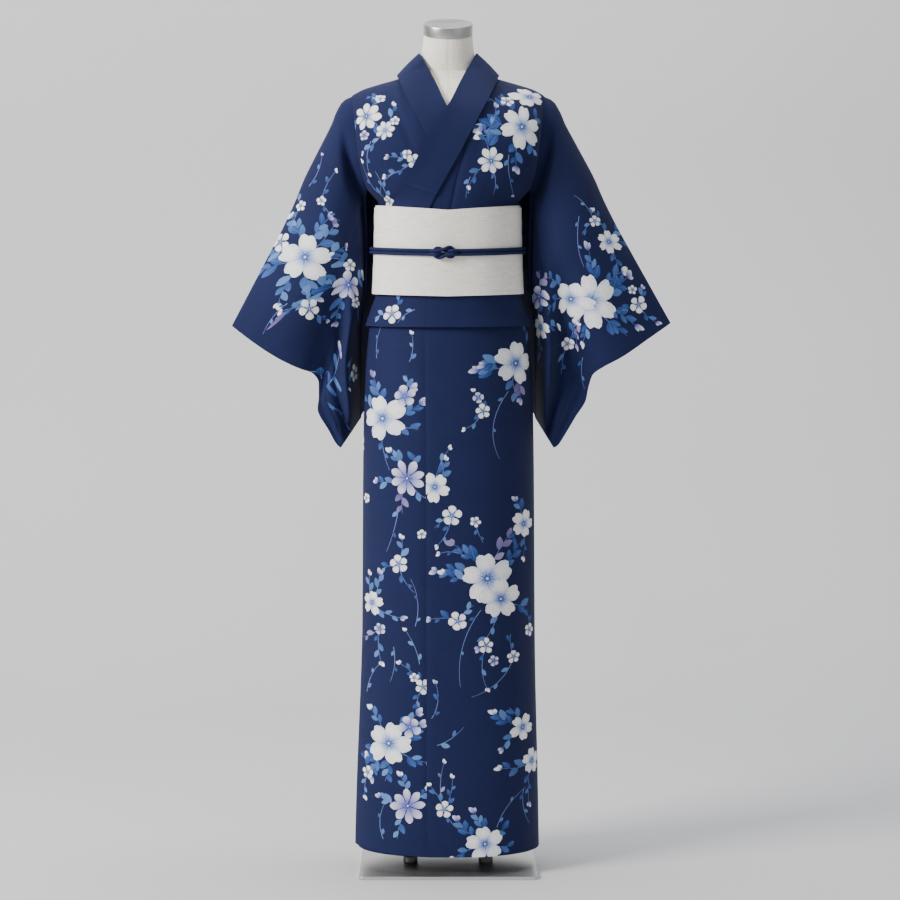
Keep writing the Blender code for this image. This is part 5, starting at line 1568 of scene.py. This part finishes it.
def makeObi():
    edge = obi["hem"] / (obi["top"] - obi["bottom"])
    shares = np.concatenate([[0, edge], np.linspace(edge * 1.06, 1 - edge * 1.06, obi["levels"]), [1 - edge, 1]])
    totals = np.linspace(obi["start"], obi["end"], int(round((obi["end"] - obi["start"]) / obi["step"])) + 1)
    grid = np.array([obiColumn(float(t), shares) for t in totals]).transpose(1, 0, 2)
    mesh = gridMesh("obiWrap", grid)
    columns = grid.shape[1] - 1
    hems = [int(k // columns in (0, grid.shape[0] - 2)) for k in range(len(mesh.polygons))]
    mesh.polygons.foreach_set("material_index", hems)
    piece = finishCloth("obiWrap", mesh, [obiCloth, obiHem], obi["thickness"])
    keepPiece(piece, "obi_cloth", "obi")


# one half of the knot, from the right of the wearer: across, up and out from the obi, in mm
knotPath = [
    (-23.0, 3.3, 0.0), (-19.0, 3.2, 3.6), (-15.5, 3.1, 6.6), (-9.0, 3.3, 6.8), (-3.0, 4.8, 6.6), (1.5, 7.0, 5.9),
    (5.5, 8.9, 3.6), (9.0, 9.3, 0.8), (12.8, 7.6, 0.0), (15.2, 4.0, 0.0), (15.7, 0.0, 0.0), (15.2, -4.0, 0.0),
    (12.8, -7.2, 0.0), (8.5, -7.6, 0.0), (4.0, -5.8, 0.0), (-0.5, -3.9, 0.2), (-4.5, -3.1, 1.9), (-8.5, -3.0, 4.9),
    (-12.0, -3.1, 6.6), (-15.5, -3.1, 6.6), (-19.0, -3.2, 3.6), (-23.0, -3.3, 0.0),
]
cord = {
    "radius": 0.0032,
    "front": 1.1535,
    "sideRise": 0.004,
    "rest": 0.0005,
    "knot": -0.0065,
    "knotHalf": -0.0245,
    "sides": 16,
    "steps": 42,
    "strandGap": 0.00005,
}


def cordPoint(angle, rise, out):
    angle = wrapAngle(angle)
    z = cord["front"] + cord["sideRise"] * math.sin(angle) ** 2 + rise
    lifts = []
    reach = 10 if math.cos(angle) < -0.2 else 3
    for step in (-reach, -reach / 2, 0, reach / 2, reach):
        near = wrapAngle(angle + math.radians(step))
        total = near if near > obi["start"] else near + 2 * math.pi
        lifts.append(obiLift(total + 2 * math.pi if total < obi["end"] - 2 * math.pi else total))
    lift = max(lifts) + obi["thickness"] / 2 + cord["rest"] + cord["radius"] + out
    return raisedPoints("bodice", z, [angle], lift)[0]


def curveThrough(points, cuts):
    result = []
    for k in range(len(points) - 1):
        near = [points[max(0, min(len(points) - 1, k + j))] for j in (-1, 0, 1, 2)]
        for cut in range(cuts):
            result.append(sum(p * w for p, w in zip(near, splineWeights(cut / cuts))))
    return np.array(result + [points[-1]])


def sweptMesh(name, path, radius, sides):
    # round tube along a closed path, with an even twist
    count = len(path)
    tangents = np.roll(path, -1, axis=0) - np.roll(path, 1, axis=0)
    tangents /= np.linalg.norm(tangents, axis=1, keepdims=True)
    normal = np.cross(tangents[0], [0.0, 0.0, 1.0])
    frames = []
    for k in range(count):
        normal = normal - tangents[k] * (normal @ tangents[k])
        normal /= np.linalg.norm(normal)
        frames.append((normal.copy(), np.cross(tangents[k], normal)))
    last = normal - tangents[0] * (normal @ tangents[0])
    twist = math.atan2(last @ frames[0][1], last @ frames[0][0])
    angles = np.linspace(0, 2 * math.pi, sides + 1)
    grid = np.zeros((count + 1, sides + 1, 3))
    for k in range(count + 1):
        first, second = frames[k % count]
        turn = angles - twist * (k % count) / count
        grid[k] = path[k % count] + radius * (np.cos(turn)[:, None] * first + np.sin(turn)[:, None] * second)
    mesh = bpy.data.meshes.new(name)
    mesh.from_pydata(grid.reshape(-1, 3).tolist(), [], gridFaces(count + 1, sides + 1))
    length = np.concatenate([[0], np.cumsum(np.linalg.norm(np.roll(path, -1, axis=0) - path, axis=1))])
    addPlaces(mesh, "cloth", lambda index: np.stack(
        [length[index // (sides + 1)], (index % (sides + 1)) / sides], axis=1))
    mendMesh(mesh)
    return mesh


def makeCord():
    steps = cord["steps"]
    # sizes across the knot become angles by the radius at which the cord lies there
    shift = cord["knot"] / 0.137
    leave = cord["knotHalf"] / 0.1225
    half = curveThrough([np.array(p) * 0.001 for p in knotPath], 6)
    points = []
    for turnedOver in (False, True):
        sign = -1 if turnedOver else 1
        begin = shift + sign * leave
        reach = sign * -math.pi - begin
        strand = sign * (cord["radius"] + cord["strandGap"])
        points += [cordPoint(begin + reach * (steps - k) / steps, strand, 0.0) for k in range(steps)]
        points += [cordPoint(shift + sign * p[0] / 0.1195, sign * p[1], p[2]) for p in half]
        points += [cordPoint(begin + reach * k / steps, -strand, 0.0) for k in range(1, steps)]
    mesh = sweptMesh("obiCord", np.array(points), cord["radius"] * 1.02, cord["sides"])
    keepPiece(addObject("obiCord", mesh, navyBraid), "navy_cord", "cord")


makeObi()
makeCord()
print("obi and cord made")


def stitchTree():
    # short threads that Geometry Nodes lay along a line
    tree = bpy.data.node_groups.new("Running stitch", "GeometryNodeTree")
    for name, kind in (("Geometry", "Geometry"), ("Spacing", "Float"), ("Length", "Float"), ("Thread", "Float"),
                       ("Seed", "Int"), ("Material", "Material")):
        tree.interface.new_socket(name, in_out="INPUT", socket_type="NodeSocket" + kind)
    tree.interface.new_socket("Geometry", in_out="OUTPUT", socket_type="NodeSocketGeometry")
    entry, leave = tree.nodes.new("NodeGroupInput"), tree.nodes.new("NodeGroupOutput")
    line = addNode(tree, "GeometryNodeMeshToCurve", {"Mesh": entry.outputs["Geometry"]})
    even = addNode(tree, "GeometryNodeResampleCurve",
                   {"Curve": line.outputs[0], "Length": entry.outputs["Spacing"]}, mode="LENGTH")
    thread = addNode(tree, "GeometryNodeMeshCylinder",
                     {"Vertices": 8, "Side Segments": 3, "Radius": entry.outputs["Thread"],
                      "Depth": entry.outputs["Length"]})
    tangent = addNode(tree, "GeometryNodeInputTangent")
    turn = addNode(tree, "FunctionNodeAlignRotationToVector", {"Vector": tangent.outputs[0]}, axis="Z")
    size = addNode(tree, "FunctionNodeRandomValue", {"Seed": entry.outputs["Seed"]}, data_type="FLOAT")
    size.inputs[2].default_value, size.inputs[3].default_value = 0.85, 1.15
    placed = addNode(tree, "GeometryNodeInstanceOnPoints",
                     {"Points": even.outputs[0], "Instance": thread.outputs[0], "Rotation": turn.outputs[0],
                      "Scale": size.outputs[1]})
    solid = addNode(tree, "GeometryNodeRealizeInstances", {0: placed.outputs[0]})
    inked = addNode(tree, "GeometryNodeSetMaterial",
                    {"Geometry": solid.outputs[0], "Material": entry.outputs["Material"]})
    tree.links.new(inked.outputs[0], leave.inputs[0])
    return tree


stitch = stitchTree()
threadRadius = 0.00022
stitchThread = clothInk("Stitch thread", plainInk((0.030, 0.045, 0.17)), wear=0.1)


def stitchLine(name, points, spacing, length, seed):
    mesh = bpy.data.meshes.new(name)
    mesh.from_pydata([tuple(p) for p in points], [(k, k + 1) for k in range(len(points) - 1)], [])
    piece = addObject(name, mesh)
    laid = piece.modifiers.new("Stitches", "NODES")
    laid.node_group = stitch
    values = {"Spacing": spacing, "Length": length, "Thread": threadRadius, "Seed": seed, "Material": stitchThread}
    for socket in stitch.interface.items_tree:
        if socket.name in values and socket.in_out == "INPUT":
            laid[socket.identifier] = values[socket.name]
    shaped = applyModifiers(piece, name)
    for layer in ("cloth", "motif"):
        addPlaces(shaped, layer)
    keepPiece(piece, "navy_cotton")


def outsideOf(grid, row, column, lift):
    # a place just outside the cloth's face
    across = grid[row, min(column + 1, grid.shape[1] - 1)] - grid[row, max(column - 1, 0)]
    down = grid[min(row + 1, grid.shape[0] - 1), column] - grid[max(row - 1, 0), column]
    normal = np.cross(across, down)
    normal /= np.linalg.norm(normal)
    if normal[1] > 0:
        normal = -normal
    return grid[row, column] + normal * lift


# a row inside each cuff and along both edges of the collar's cover
stitchLift = cloth["thickness"] / 2 + 0.0001
for side, word in ((1, "left"), (-1, "right")):
    grid = sleeveGrid(side)
    inner = grid.shape[1] - 3
    front = [outsideOf(grid, k, inner, stitchLift) for k in range(3, grid.shape[0] // 2 - 3)]
    stitchLine("cuffStitches" + word.title(), front, 0.0075, 0.0014, 5 + side)
    row = 1 if side < 0 else coverGrid.shape[0] - 2
    line = [outsideOf(coverGrid, row, k, stitchLift) for k in range(coverGrid.shape[1])]
    stitchLine("coverStitches" + word.title(), line, 0.0032, 0.0019, 9 + side)
print("stitches made")


def backdropMaterial():
    material, tree, shader = newMaterial("Grey studio sweep")
    grain = addNoise(tree, objectPlace(tree), 1.3)
    tone = addRamp(tree, grain, [(0.3, (0.600, 0.600, 0.612)), (0.7, (0.625, 0.625, 0.636))])
    tree.links.new(tone, shader.inputs["Base Color"])
    shader.inputs["Roughness"].default_value = 0.9
    # seen from behind, the sweep doesn't hide the piece
    behind = addNode(tree, "ShaderNodeNewGeometry").outputs["Backfacing"]
    clear = addNode(tree, "ShaderNodeBsdfTransparent").outputs[0]
    surface = addNode(tree, "ShaderNodeMixShader", {0: behind, 1: shader.outputs[0], 2: clear}).outputs[0]
    tree.links.new(surface, tree.nodes["Material Output"].inputs["Surface"])
    return material


def makeStudio():
    floorY, wallY, bend, width, height = -7.0, 3.2, 1.5, 9.0, 6.0
    profile = [(floorY, 0.0), (wallY - bend, 0.0)]
    profile += [(wallY - bend + bend * math.sin(t), bend - bend * math.cos(t))
                for t in np.linspace(0, math.pi / 2, 25)[1:]]
    profile.append((wallY, height))
    mesh = bpy.data.meshes.new("sweep")
    verts = [(x, y, z - 0.0004) for y, z in profile for x in (-width, width)]
    faces = [(2 * k, 2 * k + 1, 2 * k + 3, 2 * k + 2) for k in range(len(profile) - 1)]
    mesh.from_pydata(verts, [], faces)
    mesh.shade_smooth()
    sweep = placeObject("sweep", mesh, [backdropMaterial()])


def addLight(name, place, target, size, power, colour):
    lamp = bpy.data.lights.new(name, "AREA")
    lamp.shape = "RECTANGLE"
    lamp.size, lamp.size_y = size
    lamp.energy = power
    lamp.color = colour
    light = placeObject(name, lamp)
    light.location = place
    light.rotation_euler = (Vector(target) - Vector(place)).to_track_quat("-Z", "Y").to_euler()


def makeWorld():
    world = bpy.data.worlds.new("Studio air")
    world.use_nodes = True
    shade = world.node_tree.nodes["Background"]
    shade.inputs["Color"].default_value = (0.93, 0.96, 1.0, 1.0)
    shade.inputs["Strength"].default_value = 0.48
    bpy.context.scene.world = world


makeStudio()
makeWorld()
addLight("keyLight", (-3.9, -2.5, 3.1), (0.0, 0.0, 1.0), (1.8, 1.8), 385.0, (1.0, 0.985, 0.965))
addLight("fillLight", (3.2, -2.8, 2.0), (0.0, 0.0, 0.9), (2.4, 2.4), 6.0, (0.95, 0.97, 1.0))
addLight("backdropLight", (0.0, 0.4, 4.6), (0.0, 2.4, 0.6), (4.0, 1.6), 150.0, (0.98, 0.99, 1.0))

# a long lens from the front, a little above the middle and tilted down
camera = bpy.data.cameras.new("camera")
camera.lens = 107.5
camera.sensor_width = 36.0
view = placeObject("camera", camera)
view.location = (0.0037, -5.0, 1.158)
view.rotation_euler = (math.radians(90 - 4.256), 0.0, 0.0)
bpy.context.scene.camera = view
print("studio made")
